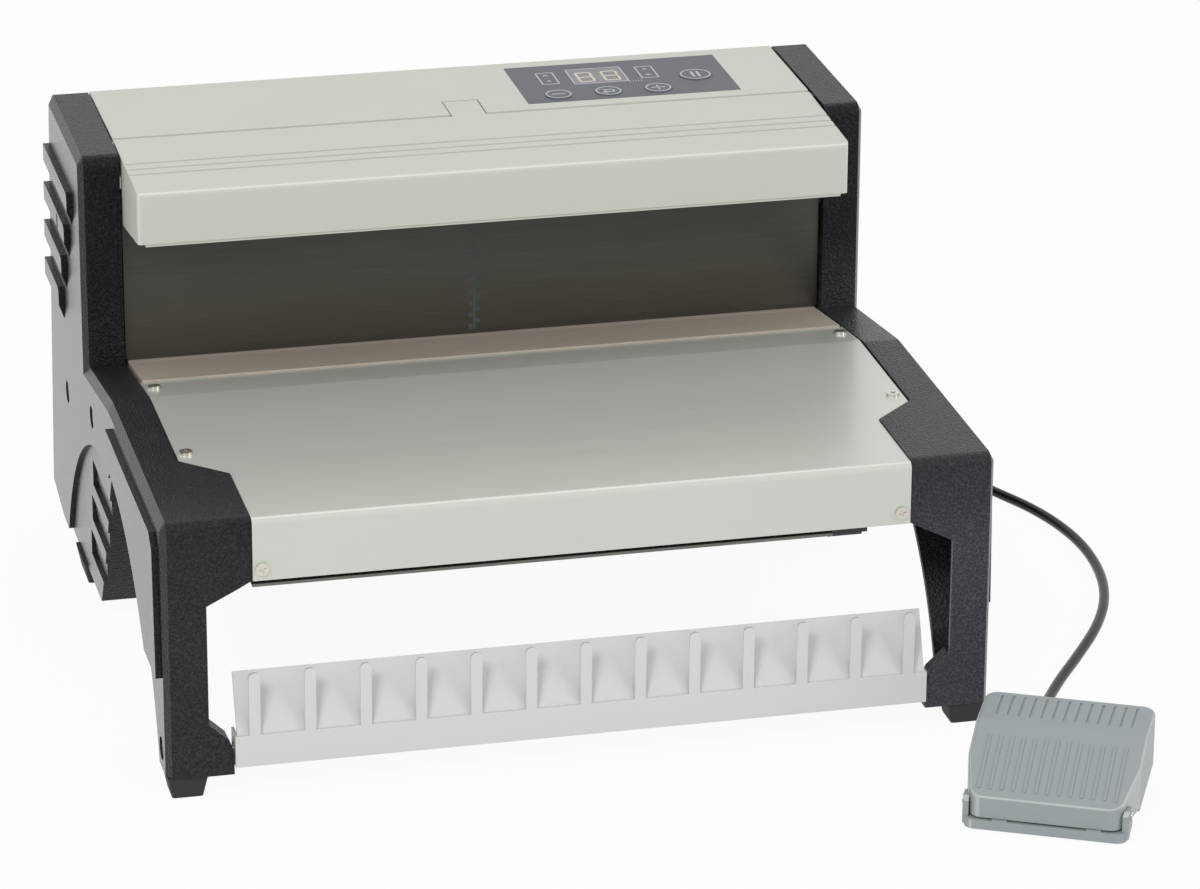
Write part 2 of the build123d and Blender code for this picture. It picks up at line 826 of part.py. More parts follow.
with BuildPart() as display_digits:
    slab((window[0][0] + 1.5, window[0][1] - 1.5), (window[1][0] + 1.5, window[1][1] - 1.5),
         (board_top, cover_under - 0.6))
    # Seven raised bars for each of the two digits
    for x in (window_x - 6.3, window_x + 6.3):
        for bar_x, bar_y, wide, long in (
            (0, 7.2, 7.0, 1.4), (0, 0, 7.0, 1.4), (0, -7.2, 7.0, 1.4),
            (-4.4, 3.6, 1.4, 5.6), (4.4, 3.6, 1.4, 5.6), (-4.4, -3.6, 1.4, 5.6), (4.4, -3.6, 1.4, 5.6),
        ):
            slab(
                (x + bar_x - wide / 2, x + bar_x + wide / 2),
                (window_y + bar_y - long / 2, window_y + bar_y + long / 2),
                (cover_under - 0.8, cover_under - 0.3),
            )
finish(display_digits, "display_digits")

with BuildPart() as control_board:
    slab(
        (panel_x[0] + 0.5, panel_x[1] - 0.5), (panel_y[0] + 5.2, panel_y[1] - 4.4),
        (board_top - 1.6, board_top),
    )
    for name, x, y, radius in key_places:
        slab((x - 3, x + 3), (y - 3, y + 3), (board_top, board_top + 1.2))
finish(control_board, "control_board")

for name, x, y, radius in key_places:
    with BuildPart() as key:
        key_face = cover_height + 0.1 + key_proud
        rod(level_plane(cover_under - 4), radius, key_face - cover_under + 4, ((x, y),))
        rim = key.faces().sort_by(Axis.Z)[-1].edges()
        fillet(rim, 0.3)
        rod(level_plane(cover_under - 4), radius + 1.2, 3.7, ((x, y),))
        rod(level_plane(board_top + 1.8), 1.6, cover_under - 4 - board_top - 1.8, ((x, y),))
    finish(key, name)

# Press, lifted by a rack at each end
block_rear = rod_y + 8.0
plate_half = cover_half - 0.1
bar_front = plate_face + plate_wall
bar_rear = bar_front + bar_wall
pitch_line = shaft_y - gear_module * pinion_teeth / 2
rack_end = bar_top + 20.0

with BuildPart() as press_plate:
    slab((-plate_half, plate_half), (plate_face, bar_front), (plate_low, plate_top))
    # Round hole near the centre mark
    rod(front_plane(bar_front + 1), 1.6, plate_wall + 2, ((-0.5, plate_top - 6.0),), Mode.SUBTRACT)
finish(press_plate, "press_plate")

with BuildPart() as press_bar:
    slab((-plate_half + 5.4, plate_half - 5.4), (bar_front, bar_rear), (plate_low, bar_top))
    for x in (-rod_x, rod_x):
        slab((x - 15, x + 15), (bar_rear, block_rear), (plate_low + 1.7, bar_top))
        rod(level_plane(plate_low), rod_radius + hinge_fit, bar_top, ((x, rod_y),), Mode.SUBTRACT)
finish(press_bar, "press_bar")


def rack_points():
    """Side outline of a toothed rack: teeth towards the shaft, back against the press bar."""
    low = plate_low + 4.7
    half = (math.pi * gear_module / 2 - tooth_backlash) / 2
    lean = math.tan(math.radians(20))
    tip = half - gear_addendum * lean
    root = half + 1.25 * gear_module * lean
    points = [(bar_rear, rack_end), (bar_rear, low), (pitch_line - 1.25 * gear_module, low)]
    tooth = -20
    while True:
        centre = shaft_height + math.pi * gear_module * (tooth + 0.5)
        tooth += 1
        if centre - root < low + 0.3:
            continue
        if centre + root > rack_end - 0.3:
            break
        points += [
            (pitch_line - 1.25 * gear_module, centre - root), (pitch_line + gear_addendum, centre - tip),
            (pitch_line + gear_addendum, centre + tip), (pitch_line - 1.25 * gear_module, centre + root),
        ]
    points.append((pitch_line - 1.25 * gear_module, rack_end))
    return points


with BuildPart() as rack_gears:
    for x in (-rack_x, rack_x):
        prism(side_plane(x - rack_width / 2), rack_points(), rack_width)
finish(rack_gears, "rack_gears")


def gear_points(teeth, centre, first):
    """Outline of an involute gear round a centre, with a tooth at the first angle."""
    pitch_radius = gear_module * teeth / 2
    base = pitch_radius * math.cos(math.radians(20))
    tip = pitch_radius + gear_addendum * gear_module
    root = pitch_radius - 1.25 * gear_module
    start = max(base, root)
    pitch_angle = math.radians(20)
    half = (math.pi * gear_module / 2 - tooth_backlash) / (2 * pitch_radius)
    half += math.tan(pitch_angle) - pitch_angle
    flank = [(root, half - (math.tan(math.acos(base / start)) - math.acos(base / start)))]
    for step in range(6):
        radius = start + (tip - start) * step / 5
        slope = math.acos(min(1.0, base / radius))
        flank.append((radius, half - (math.tan(slope) - slope)))
    if root >= base:
        flank = flank[1:]
    points = []
    for tooth in range(teeth):
        middle_angle = first + tooth * 2 * math.pi / teeth
        for radius, spread in flank:
            points.append((radius, middle_angle - spread))
        for radius, spread in reversed(flank):
            points.append((radius, middle_angle + spread))
    return [(centre[0] + r * math.cos(a), centre[1] + r * math.sin(a)) for r, a in points]


with BuildPart() as cross_shaft:
    rod(side_plane(-inner_half), shaft_radius, 2 * inner_half, ((shaft_y, shaft_height),))
finish(cross_shaft, "cross_shaft")

with BuildPart() as pinions:
    for x in (-rack_x, rack_x):
        side = side_plane(x - rack_width / 2 - 1)
        prism(side, gear_points(pinion_teeth, (shaft_y, shaft_height), math.pi), rack_width + 2)
    rod(side_plane(-half_width), shaft_radius, body_width, ((shaft_y, shaft_height),), Mode.SUBTRACT)
finish(pinions, "pinions")

with BuildPart() as driven_gear:
    side = side_plane(wheel_x - gear_width / 2)
    prism(side, gear_points(wheel_teeth, (shaft_y, shaft_height), 0.0), gear_width)
    rod(side_plane(0), shaft_radius, half_width, ((shaft_y, shaft_height),), Mode.SUBTRACT)
finish(driven_gear, "driven_gear")

# Motor with its own small gear
motor_face = wheel_x + gear_width / 2 + 1.0 + 3.0
motor_phase = math.pi + math.pi / motor_teeth

with BuildPart() as motor_pinion:
    side = side_plane(wheel_x - gear_width / 2)
    prism(side, gear_points(motor_teeth, (motor_y, shaft_height), motor_phase), gear_width)
    rod(side, motor_shaft_radius, motor_face + 20 - wheel_x + gear_width / 2, ((motor_y, shaft_height),))
finish(motor_pinion, "motor_pinion")

with BuildPart() as motor:
    rod(side_plane(motor_face), motor_radius, motor_length, ((motor_y, shaft_height),))
    rims = motor.edges().filter_by(GeomType.CIRCLE)
    fillet(rims, 1.2)
    rod(
        side_plane(motor_face - 1), motor_shaft_radius + shaft_fit, 22, ((motor_y, shaft_height),),
        Mode.SUBTRACT,
    )
    rod(side_plane(motor_face + motor_length), 5.0, 3.0, ((motor_y, shaft_height),))
finish(motor, "motor")

with BuildPart() as motor_bracket:
    plate_y = (motor_y - 21, motor_y + 18)
    slab((motor_face - 3, motor_face), plate_y, (beam_low, shaft_height + 20))
    slab((motor_face, motor_face + 20), plate_y, (beam_low, beam_low + 2))
    rod(
        side_plane(motor_face - 4), motor_shaft_radius + 1, 5, ((motor_y, shaft_height),), Mode.SUBTRACT
    )
finish(motor_bracket, "motor_bracket")

with BuildPart() as shaft_bearings:
    for low in (-frame_inner, frame_inner - 8):
        rod(side_plane(low), 11.0, 8.0, ((shaft_y, shaft_height),))
    rod(
        side_plane(-half_width), shaft_radius + shaft_fit, body_width, ((shaft_y, shaft_height),),
        Mode.SUBTRACT,
    )
finish(shaft_bearings, "shaft_bearings")

with BuildPart() as guide_rods:
    rod(level_plane(anvil_low), rod_radius, block_low + 6 - anvil_low, ((-rod_x, rod_y), (rod_x, rod_y)))
finish(guide_rods, "guide_rods")

with BuildPart() as guide_blocks:
    for side in (-1, 1):
        across = sorted((side * (rod_x - 12), side * frame_inner))
        slab(across, (rod_y - 8, block_rear), (block_low, block_low + 6))
    rod(level_plane(block_low - 1), rod_radius, 8, ((-rod_x, rod_y), (rod_x, rod_y)), Mode.SUBTRACT)
finish(guide_blocks, "guide_blocks")

with BuildPart() as limit_switches:
    # One under the left guide block, and one on the beam, each with its lever towards the press
    stop_high = bar_top + press_travel + 0.4
    stop_low = plate_low + 1.4
    across = (-rod_x - 15.6, -rod_x - 7.6)
    slab(across, (22.0, 34.0), (stop_high + 3, block_low))
    slab((across[0] + 2, across[1] - 2), (24.0, 32.0), (stop_high, stop_high + 3))
    slab(across, (24.0, 36.0), (anvil_low, stop_low - 3))
    slab((across[0] + 2, across[1] - 2), (26.0, 34.0), (stop_low - 3, stop_low))
finish(limit_switches, "limit_switches")

with BuildPart() as power_supply:
    supply_left = -frame_inner + 22
    supply_front = shaft_y + 7
    supply_top = shaft_height - 22
    slab((supply_left, supply_left + 90), (supply_front, supply_front + 26), (beam_low, supply_top))
    tops = power_supply.edges().filter_by(Axis.Z)
    fillet(tops, 1.5)
    # Cooling slots through the lid
    for column in range(8):
        x = supply_left + 10 + column * 10
        slab(
            (x, x + 4), (supply_front + 4, supply_front + 22), (supply_top - 1.5, supply_top + 1),
            Mode.SUBTRACT,
        )
finish(power_supply, "power_supply")

# Back cover, mains inlet and power switch
inlet_x = -106.5
inlet_z = beam_low + 22
inlet_width = 27.0
inlet_height = 21.0
switch_x = -72.0
switch_half = 6.3
switch_long = 10.2
rocker_pivot = back_face - 1.7
rocker_tilt = -8.0

with BuildPart() as back_cover:
    slab((-cover_half, cover_half), (back_face - sheet_wall, back_face), (beam_low, cover_under - 0.3))
    slab(
        (inlet_x - 11.5, inlet_x + 11.5), (back_face - 3, back_face + 1), (inlet_z - 8.5, inlet_z + 8.5),
        Mode.SUBTRACT,
    )
    slab(
        (switch_x - 8.5, switch_x + 8.5), (back_face - 3, back_face + 1), (inlet_z - 12.5, inlet_z + 12.5),
        Mode.SUBTRACT,
    )
    rod(front_plane(back_face + 1), gland_radius - 1, 4, ((cord_x, cord_exit_z),), Mode.SUBTRACT)
    # Two banks of cooling slots
    for column in range(10):
        for x in (40.0 + column * 8, -cover_half + 20.5 + column * 8):
            slab((x, x + 3), (back_face - 3, back_face + 1), (frame_top - 57, frame_top - 27), Mode.SUBTRACT)
    back_screw_planes = [
        Plane(origin=at(x, back_face, z), x_dir=(1, 0, 0), z_dir=(0, 1, 0))
        for x in (-cover_half + 5, cover_half - 5) for z in (beam_low + 7, frame_top - 17)
    ]
    for place in back_screw_planes:
        drill(place.offset(1), 4)
finish(back_cover, "back_cover")

with BuildPart() as back_screws:
    for place in back_screw_planes:
        pan_screw(place, sheet_wall)
finish(back_screws, "back_screws")

with BuildPart() as mains_inlet:
    slab(
        (inlet_x - inlet_width / 2, inlet_x + inlet_width / 2), (back_face, back_face + 2.5),
        (inlet_z - inlet_height / 2, inlet_z + inlet_height / 2),
    )
    slab((inlet_x - 11.5, inlet_x + 11.5), (back_face - 19.7, back_face), (inlet_z - 8.5, inlet_z + 8.5))
    slab(
        (inlet_x - 9.8, inlet_x + 9.8), (back_face - 16.7, back_face + 3), (inlet_z - 6.8, inlet_z + 6.8),
        Mode.SUBTRACT,
    )
    for x, z in ((-5.0, 1.5), (0.0, -2.0), (5.0, 1.5)):
        slab(
            (inlet_x + x - 1, inlet_x + x + 1), (back_face - 16.7, back_face - 3.2),
            (inlet_z + z - 2, inlet_z + z + 2),
        )
finish(mains_inlet, "mains_inlet")

with BuildPart() as switch_frame:
    slab((switch_x - 10.5, switch_x + 10.5), (back_face, back_face + 1.6), (inlet_z - 14.5, inlet_z + 14.5))
    slab((switch_x - 8.5, switch_x + 8.5), (back_face - 15.7, back_face), (inlet_z - 12.5, inlet_z + 12.5))
    slab(
        (switch_x - switch_half, switch_x + switch_half), (rocker_pivot - 6, back_face + 2),
        (inlet_z - switch_long, inlet_z + switch_long), Mode.SUBTRACT,
    )
    rod(side_plane(switch_x - 8), 1.53, 16, ((rocker_pivot, inlet_z),), Mode.SUBTRACT)
finish(switch_frame, "switch_frame")

with BuildPart() as power_rocker:
    tilt = math.radians(rocker_tilt)
    across = side_plane(switch_x - switch_half + 0.3)
    corners = [(-2.0, -9.4), (3.6, -9.4), (2.0, 0.0), (3.6, 9.4), (-2.0, 9.4)]
    turned = [
        (rocker_pivot + a * math.cos(tilt) - b * math.sin(tilt),
         inlet_z + a * math.sin(tilt) + b * math.cos(tilt)) for a, b in corners
    ]
    prism(across, turned, 2 * switch_half - 0.6)
    rod(side_plane(switch_x - 7.7), 1.5, 15.4, ((rocker_pivot, inlet_z),))
finish(power_rocker, "power_rocker")


def gland(plane, length, radius, tip):
    """A tapered strain relief standing on a plane, ringed along its length."""
    with BuildSketch(plane) as foot:
        Circle(radius)
    with BuildSketch(plane.offset(length)) as end:
        Circle(tip)
    loft([foot.sketch.face(), end.sketch.face()])
    # Flex grooves
    for ring in range(3):
        height = length * (0.35 + 0.18 * ring)
        outer = radius + (tip - radius) * (height + 1) / length
        with BuildSketch(plane.offset(height)) as groove:
            Circle(outer + 1)
            Circle(outer - 0.5, mode=Mode.SUBTRACT)
        extrude(groove.sketch, amount=1.6, mode=Mode.SUBTRACT)


with BuildPart() as cord_gland:
    exit_plane = Plane(origin=at(cord_x, back_face, cord_exit_z), x_dir=(1, 0, 0), z_dir=(0, 1, 0))
    gland(exit_plane, gland_length, gland_radius, gland_tip_radius)
    with BuildSketch(exit_plane) as plug:
        Circle(gland_radius - 1)
    extrude(plug.sketch, amount=-sheet_wall)
finish(cord_gland, "cord_gland")

with BuildPart() as casing_screws:
    for side in (-1, 1):
        for y, z in casing_holes:
            place = Plane(
                origin=at(side * (half_width - hole_depth), y, z), x_dir=(0, 1, 0), z_dir=(side, 0, 0)
            )
            with BuildSketch(place) as head:
                Circle(hole_radius - 1.4)
                Circle(1.2, mode=Mode.SUBTRACT)
            extrude(head.sketch, amount=hole_depth - 0.8)
finish(casing_screws, "casing_screws")

# Feet and wire rack
with BuildPart() as feet:
    for x in (-half_width + casing_depth / 2, half_width - casing_depth / 2):
        for y, wide, long in ((front_y + 10.6, 18.4, 19.4), (40.0, 18.4, 30.0)):
            with BuildSketch(level_plane(foot_pad_height)) as top:
                with Locations((x, y)):
                    RectangleRounded(wide, long, 1.5)
            with BuildSketch(level_plane(0)) as low:
                with Locations((x, y)):
                    RectangleRounded(wide - 4.2, long - 4, 1.5)
            loft([top.sketch.face(), low.sketch.face()])
finish(feet, "feet")

rack_wall = sheet_wall
rack_inner = rack_face + rack_wall

with BuildPart() as wire_rack:
    slab((-rack_half, rack_half), (rack_face, rack_inner), (rack_low, rack_lip_top))
    for index in range(finger_count):
        x = (index - (finger_count - 1) / 2) * finger_pitch
        with BuildSketch(front_plane(rack_inner)) as finger:
            with BuildLine():
                Polyline(
                    (x - finger_width / 2, finger_top - finger_width / 2),
                    (x - finger_width / 2, rack_lip_top - 1),
                    (x + finger_width / 2, rack_lip_top - 1),
                    (x + finger_width / 2, finger_top - finger_width / 2),
                )
                ThreePointArc(
                    (x + finger_width / 2, finger_top - finger_width / 2), (x, finger_top),
                    (x - finger_width / 2, finger_top - finger_width / 2),
                )
            make_face()
        extrude(finger.sketch, amount=rack_wall)
    # The plate behind the fingers leans back from the top of the lip
    lean = math.atan2(rack_back_lean, rack_back_top - rack_lip_top)
    thick_y = rack_wall * math.cos(lean)
    thick_z = rack_wall * math.sin(lean)
    prism(
        side_plane(-rack_half + 1),
        [(rack_inner, rack_lip_top - 3), (rack_inner, rack_lip_top),
         (rack_inner + rack_back_lean, rack_back_top),
         (rack_inner + rack_back_lean + thick_y, rack_back_top - thick_z),
         (rack_inner + thick_y, rack_lip_top - 3)],
        2 * rack_half - 2,
    )
    # End tabs, screwed to the bosses of the front legs
    for low in (-rack_half, rack_half - rack_wall):
        slab((low, low + rack_wall), (rack_inner, rack_screw_y + 4), (rack_low, rack_lip_top))
    for low in (-rack_half - 1, rack_half - rack_wall - 1):
        rod(
            side_plane(low), screw_shank, rack_wall + 2, ((rack_screw_y, rack_screw_z),), Mode.SUBTRACT
        )
finish(wire_rack, "wire_rack")

with BuildPart() as rack_screws:
    for side in (-1, 1):
        place = Plane(
            origin=at(side * (rack_half - rack_wall), rack_screw_y, rack_screw_z), x_dir=(0, 1, 0),
            z_dir=(-side, 0, 0),
        )
        pan_screw(place, rack_wall + 6)
finish(rack_screws, "rack_screws")

# Foot pedal
pedal_base_low = 1.2
cos_turn = math.cos(turn)
sin_turn = math.sin(turn)


def pedal_level(z, x=0.0, y=0.0):
    """Level plane in the pedal's own directions, with its axis at a place on the pedal."""
    origin = at(
        pedal_x + x * cos_turn - y * sin_turn, pedal_y + x * sin_turn + y * cos_turn, z
    )
    return Plane(origin=origin, x_dir=(cos_turn, sin_turn, 0), z_dir=(0, 0, 1))


def pedal_side(x):
    """Plane along the pedal: first axis towards the cord, second axis up."""
    return Plane(
        origin=pedal_level(0, x, 0).origin, x_dir=(-sin_turn, cos_turn, 0), z_dir=(cos_turn, sin_turn, 0)
    )


def pedal_slab(x_range, y_range, z_range, mode=Mode.ADD):
    """A block in the pedal's own directions."""
    with BuildSketch(pedal_level(z_range[0])) as block:
        with Locations((sum(x_range) / 2, sum(y_range) / 2)):
            Rectangle(x_range[1] - x_range[0], y_range[1] - y_range[0])
    extrude(block.sketch, amount=z_range[1] - z_range[0], mode=mode)


half_long = pedal_length / 2
half_wide = pedal_width / 2


def treadle_plan(z, inset):
    """Top view of the treadle, drawn in towards the toe."""
    near = pedal_near_width / 2 - inset
    far = half_wide - inset
    long = half_long - inset
    bend = pedal_taper - half_long
    with BuildSketch(pedal_level(z)) as plan:
        with BuildLine():
            Polyline(
                (-near, -long), (near, -long), (far, bend), (far, long), (-far, long), (-far, bend),
                close=True,
            )
        make_face()
        fillet(plan.vertices(), max(0.8, pedal_corner - inset))
    return plan.sketch


ledge_long = pedal_taper - 0.5
tub_inset = pedal_wall + skirt_gap
cheek_clear = 0.45

with BuildPart() as pedal_base:
    # The ledge round the toe, flush with the cheeks
    with BuildSketch(pedal_level(pedal_base_low)) as ledge:
        with Locations((0, ledge_long / 2 - base_toe)):
            RectangleRounded(2 * base_half, ledge_long, base_corner)
    extrude(ledge.sketch, amount=pedal_base_near - pedal_base_low)
    extrude(treadle_plan(pedal_base_low + 2, tub_inset + pedal_wall), amount=20, mode=Mode.SUBTRACT)
    # The tub inside the treadle's skirt, low enough for the treadle to come down over it
    with BuildPart(mode=Mode.PRIVATE) as tub:
        extrude(treadle_plan(pedal_base_low, tub_inset), amount=20)
        extrude(treadle_plan(pedal_base_low + 2, tub_inset + pedal_wall), amount=20, mode=Mode.SUBTRACT)
        prism(
            pedal_side(-half_wide - 1),
            [(-half_long, pedal_base_low), (half_long, pedal_base_low), (half_long, pedal_base_far),
             (-half_long, pedal_base_near + 4.6)],
            pedal_width + 2,
            Mode.INTERSECT,
        )
    add(tub.part)
    # Two tabs that close the gap below the treadle's toe
    for x in (-20.0, 22.0):
        pedal_slab(
            (x - 3.3, x + 3.3), (-base_toe, -base_toe + 1.8), (pedal_base_near - 0.7, pedal_base_near + 0.7)
        )
    # Cheeks beside the toe, which carry the ends of the pivot pin
    taper_rate = (pedal_width - pedal_near_width) / 2 / pedal_taper
    for side in (-1, 1):
        with BuildPart(mode=Mode.PRIVATE) as cheek:
            toe_x = pedal_near_width / 2 + taper_rate * 1.5 + cheek_clear
            rear_x = toe_x + taper_rate * 10.7
            prism(
                pedal_level(pedal_base_low + 1),
                [(side * toe_x, -half_long + 1.5), (side * (base_half - 0.1), -half_long + 1.5),
                 (side * (base_half + 0.7), -half_long + 2.6), (side * (base_half + 0.7), -half_long + 10.5),
                 (side * rear_x, -half_long + 12.2)],
                16,
            )
            prism(
                pedal_side(-half_wide - 1),
                [(-half_long, 0), (-half_long, pedal_pivot_z), (pedal_pivot_y - 3.6, pedal_pivot_z + 3.6),
                 (pedal_pivot_y + 2.4, pedal_pivot_z + 3.6), (-half_long + 12.4, pedal_base_near)],
                pedal_width + 2,
                Mode.INTERSECT,
            )
        add(cheek.part)
    # Lugs for the pivot pin
    for x in (-29.0, 26.0):
        prism(
            pedal_side(x),
            [(pedal_pivot_y - 4, pedal_base_low + 1), (pedal_pivot_y - 2.6, pedal_pivot_z + 2.4),
             (pedal_pivot_y + 2.6, pedal_pivot_z + 2.4), (pedal_pivot_y + 4, pedal_base_low + 1)],
            3.0,
        )
    rod(
        pedal_side(-base_half - 2), pedal_pin_radius, 2 * base_half + 4, ((pedal_pivot_y, pedal_pivot_z),),
        Mode.SUBTRACT,
    )
finish(pedal_base, "pedal_base")


skirt_near = pedal_base_near + 0.9
skirt_step = pedal_taper - half_long - 1.0

with BuildPart() as pedal_treadle:
    extrude(treadle_plan(0, 0), amount=45)
    prism(
        pedal_side(-half_wide - 5),
        [(-half_long - 1, skirt_near), (-half_long - 1, pedal_near_top), (-half_long, pedal_near_top),
         (pedal_crest_y, pedal_crest), (half_long + 1, pedal_far_top), (half_long + 1, skirt_far),
         (skirt_step, skirt_near - 0.2), (skirt_step, skirt_near + 1.0)],
        pedal_width + 10,
        Mode.INTERSECT,
    )
    crests = pedal_treadle.edges().filter_by(
        lambda e: e.length > pedal_near_width and abs(e.center().Z - pedal_crest) < 0.1
    )
    fillet(crests, 12.0)
    upper = pedal_treadle.faces().filter_by(lambda f: f.normal_at().Z > 0.5)
    borders = [
        e for e in upper.edges()
        if len([f for f in upper if any(g.is_same(e) for g in f.edges())]) == 1
    ]
    fillet(borders, 1.8)
    # Hollow from below
    with BuildPart(mode=Mode.PRIVATE) as hollow:
        extrude(treadle_plan(0, pedal_wall), amount=45)
        prism(
            pedal_side(-half_wide - 5),
            [(-half_long - 1, 0), (-half_long - 1, pedal_near_top - pedal_wall),
             (pedal_crest_y, pedal_crest - pedal_wall), (half_long + 1, pedal_far_top - pedal_wall),
             (half_long + 1, 0)],
            pedal_width + 10,
            Mode.INTERSECT,
        )
    add(hollow.part, mode=Mode.SUBTRACT)
    rod(
        pedal_side(-half_wide - 5), pedal_pin_radius + pedal_pin_fit, pedal_width + 10,
        ((pedal_pivot_y, pedal_pivot_z),), Mode.SUBTRACT,
    )
    # Notch over the cord's strain relief
    pedal_slab(
        (pedal_gland_x - 5.4, pedal_gland_x + 5.4), (half_long - pedal_wall - 1, half_long + 1),
        (skirt_near, skirt_far + 3.7), Mode.SUBTRACT,
    )
    # Long ribs on the slope up to the crest, and grooves behind it
    near_slope = math.atan2(pedal_crest - pedal_near_top, pedal_crest_y + half_long)
    ribs = Plane(
        origin=pedal_level(pedal_near_top, 0, -half_long).origin,
        x_dir=(cos_turn, sin_turn, 0),
        z_dir=(math.sin(near_slope) * sin_turn, -math.sin(near_slope) * cos_turn, math.cos(near_slope)),
    )
    run = (pedal_crest_y + half_long) / math.cos(near_slope)
    with BuildSketch(ribs.offset(-0.6)) as rib_rows:
        for row in range(13):
            with Locations(((row - 6) * 5.1, run * 0.46)):
                SlotOverall(run * 0.7, 1.2, rotation=90)
    extrude(rib_rows.sketch, amount=1.1)
    far_slope = math.atan2(pedal_far_top - pedal_crest, half_long + 1 - pedal_crest_y)
    grooves = Plane(
        origin=pedal_level(pedal_crest, 0, pedal_crest_y).origin,
        x_dir=(cos_turn, sin_turn, 0),
        z_dir=(math.sin(far_slope) * sin_turn, -math.sin(far_slope) * cos_turn, math.cos(far_slope)),
    )
    with BuildSketch(grooves.offset(-0.6)) as groove_rows:
        for row in range(13):
            with Locations(((row - 6) * 5.1, 14.5)):
                SlotOverall(18.5, 1.1, rotation=90)
    extrude(groove_rows.sketch, amount=2, mode=Mode.SUBTRACT)
finish(pedal_treadle, "pedal_treadle")

with BuildPart() as pedal_pin:
    reach = base_half + 1.4
    rod(pedal_side(-reach), pedal_pin_radius, 2 * reach, ((pedal_pivot_y, pedal_pivot_z),))
finish(pedal_pin, "pedal_pin")

with BuildPart() as pedal_switch:
    pedal_slab((-10.0, 10.0), (4.0, 16.0), (pedal_base_low + 2, pedal_crest - 8.5))
    pedal_slab((-2.0, 2.0), (8.0, 12.0), (pedal_crest - 8.5, pedal_crest - 5.5))
finish(pedal_switch, "pedal_switch")

with BuildPart() as pedal_spring:
    spring_base = pedal_level(pedal_base_low + 2, 0, 24.0)
    with BuildSketch(spring_base) as tube:
        Circle(5.0)
        Circle(3.8, mode=Mode.SUBTRACT)
    extrude(tube.sketch, amount=pedal_crest + 0.5 - pedal_wall - pedal_base_low - 2)
finish(pedal_spring, "pedal_spring")

with BuildPart() as pedal_feet:
    with BuildSketch(pedal_level(0)) as pads:
        with GridLocations(pedal_width - 26, pedal_length - 22, 2, 2):
            Circle(4.5)
    extrude(pads.sketch, amount=pedal_base_low)
finish(pedal_feet, "pedal_feet")

pedal_exit = half_long - tub_inset

with BuildPart() as pedal_gland:
    side = pedal_level(0, pedal_gland_x, pedal_exit).origin
    wall = Plane(
        origin=(side.X, side.Y, pedal_gland_z), x_dir=(cos_turn, sin_turn, 0), z_dir=(-sin_turn, cos_turn, 0)
    )
    gland(wall, pedal_gland_length, gland_radius - 0.4, gland_tip_radius)
finish(pedal_gland, "pedal_gland")


# The pedal's cord: down behind the machine, a coil, then round its right side to the pedal
def cord_path(points):
    """Straight runs joined by arcs as large as their runs allow, with their radii printed."""
    radii = []
    for before, here, after in zip(points, points[1:], points[2:]):
        run_in = here - before
        run_out = after - here
        half = math.radians(run_in.get_angle(run_out)) / 2
        radii.append(0.45 * min(run_in.length, run_out.length) / math.tan(half))
    print("cord radii", [round(r) for r in radii], "least", round(min(radii), 1))
    print("cord runs", [round((b - a).length, 1) for a, b in zip(points, points[1:])])
    return FilletPolyline(*points, radius=radii)


def cord_tube(name, points):
    """A tube along a route, whose volume is compared with its section times its length."""
    with BuildPart() as tube:
        with BuildLine() as route:
            cord_path(points)
        start = Plane(origin=points[0], z_dir=points[1] - points[0])
        with BuildSketch(start) as section:
            Circle(cord_radius)
        sweep(section.sketch, path=route.wire())
    length = route.wire().length
    share = tube.part.volume / (math.pi * cord_radius**2 * length)
    print(name, "length", round(length, 1), "volume share", round(share, 4))
    return tube


def pedal_point(x, y, z):
    """A point in the pedal's own directions."""
    place = pedal_level(z, x, y).origin
    return Vector(place.X, place.Y, z)


machine_side = [
    at(cord_x, back_face + gland_length, cord_exit_z),
    at(-40.0, 148.0, 116.0),
    at(-38.0, 168.5, 105.0),
    at(-33.0, 180.5, 80.0),
    at(-26.0, 186.5, 51.0),
    at(-14.0, 191.5, 25.0),
    at(4.0, 198.0, 9.5),
    at(30.0, 203.0, coil_low),
    at(55.0, 203.0, coil_low),
]
pedal_side_points = [
    at(65.0, 203.0, coil_high),
    at(90.0, 203.0, coil_high),
    at(120.0, 201.0, 4.2),
    at(154.0, 195.0, cord_floor),
    at(188.0, 181.0, cord_floor),
    at(218.0, 159.0, cord_floor),
    at(240.0, 129.0, cord_floor),
    at(253.5, 98.0, cord_floor),
    at(263.0, 66.0, cord_floor),
    at(274.6, 38.0, cord_floor),
    at(286.9, 12.8, cord_floor),
    at(294.6, -14.3, cord_floor),
    at(297.8, -44.1, cord_floor),
    at(295.0, -77.5, cord_floor),
    at(286.9, -108.2, cord_floor),
    at(272.9, -138.0, cord_floor),
    at(253.6, -168.0, cord_floor),
    at(236.0, -193.5, cord_floor),
    pedal_point(-21.3, pedal_exit + pedal_gland_length + 52.0, cord_floor),
    pedal_point(-21.4, pedal_exit + pedal_gland_length + 35.0, 4.0),
    pedal_point(pedal_gland_x, pedal_exit + pedal_gland_length + 18.0, pedal_gland_z),
    pedal_point(pedal_gland_x, pedal_exit + pedal_gland_length, pedal_gland_z),
]

cord_machine_side = cord_tube("cord_machine_side", machine_side)
finish(cord_machine_side, "cord_machine_side")
cord_pedal_side = cord_tube("cord_pedal_side", pedal_side_points)
finish(cord_pedal_side, "cord_pedal_side")


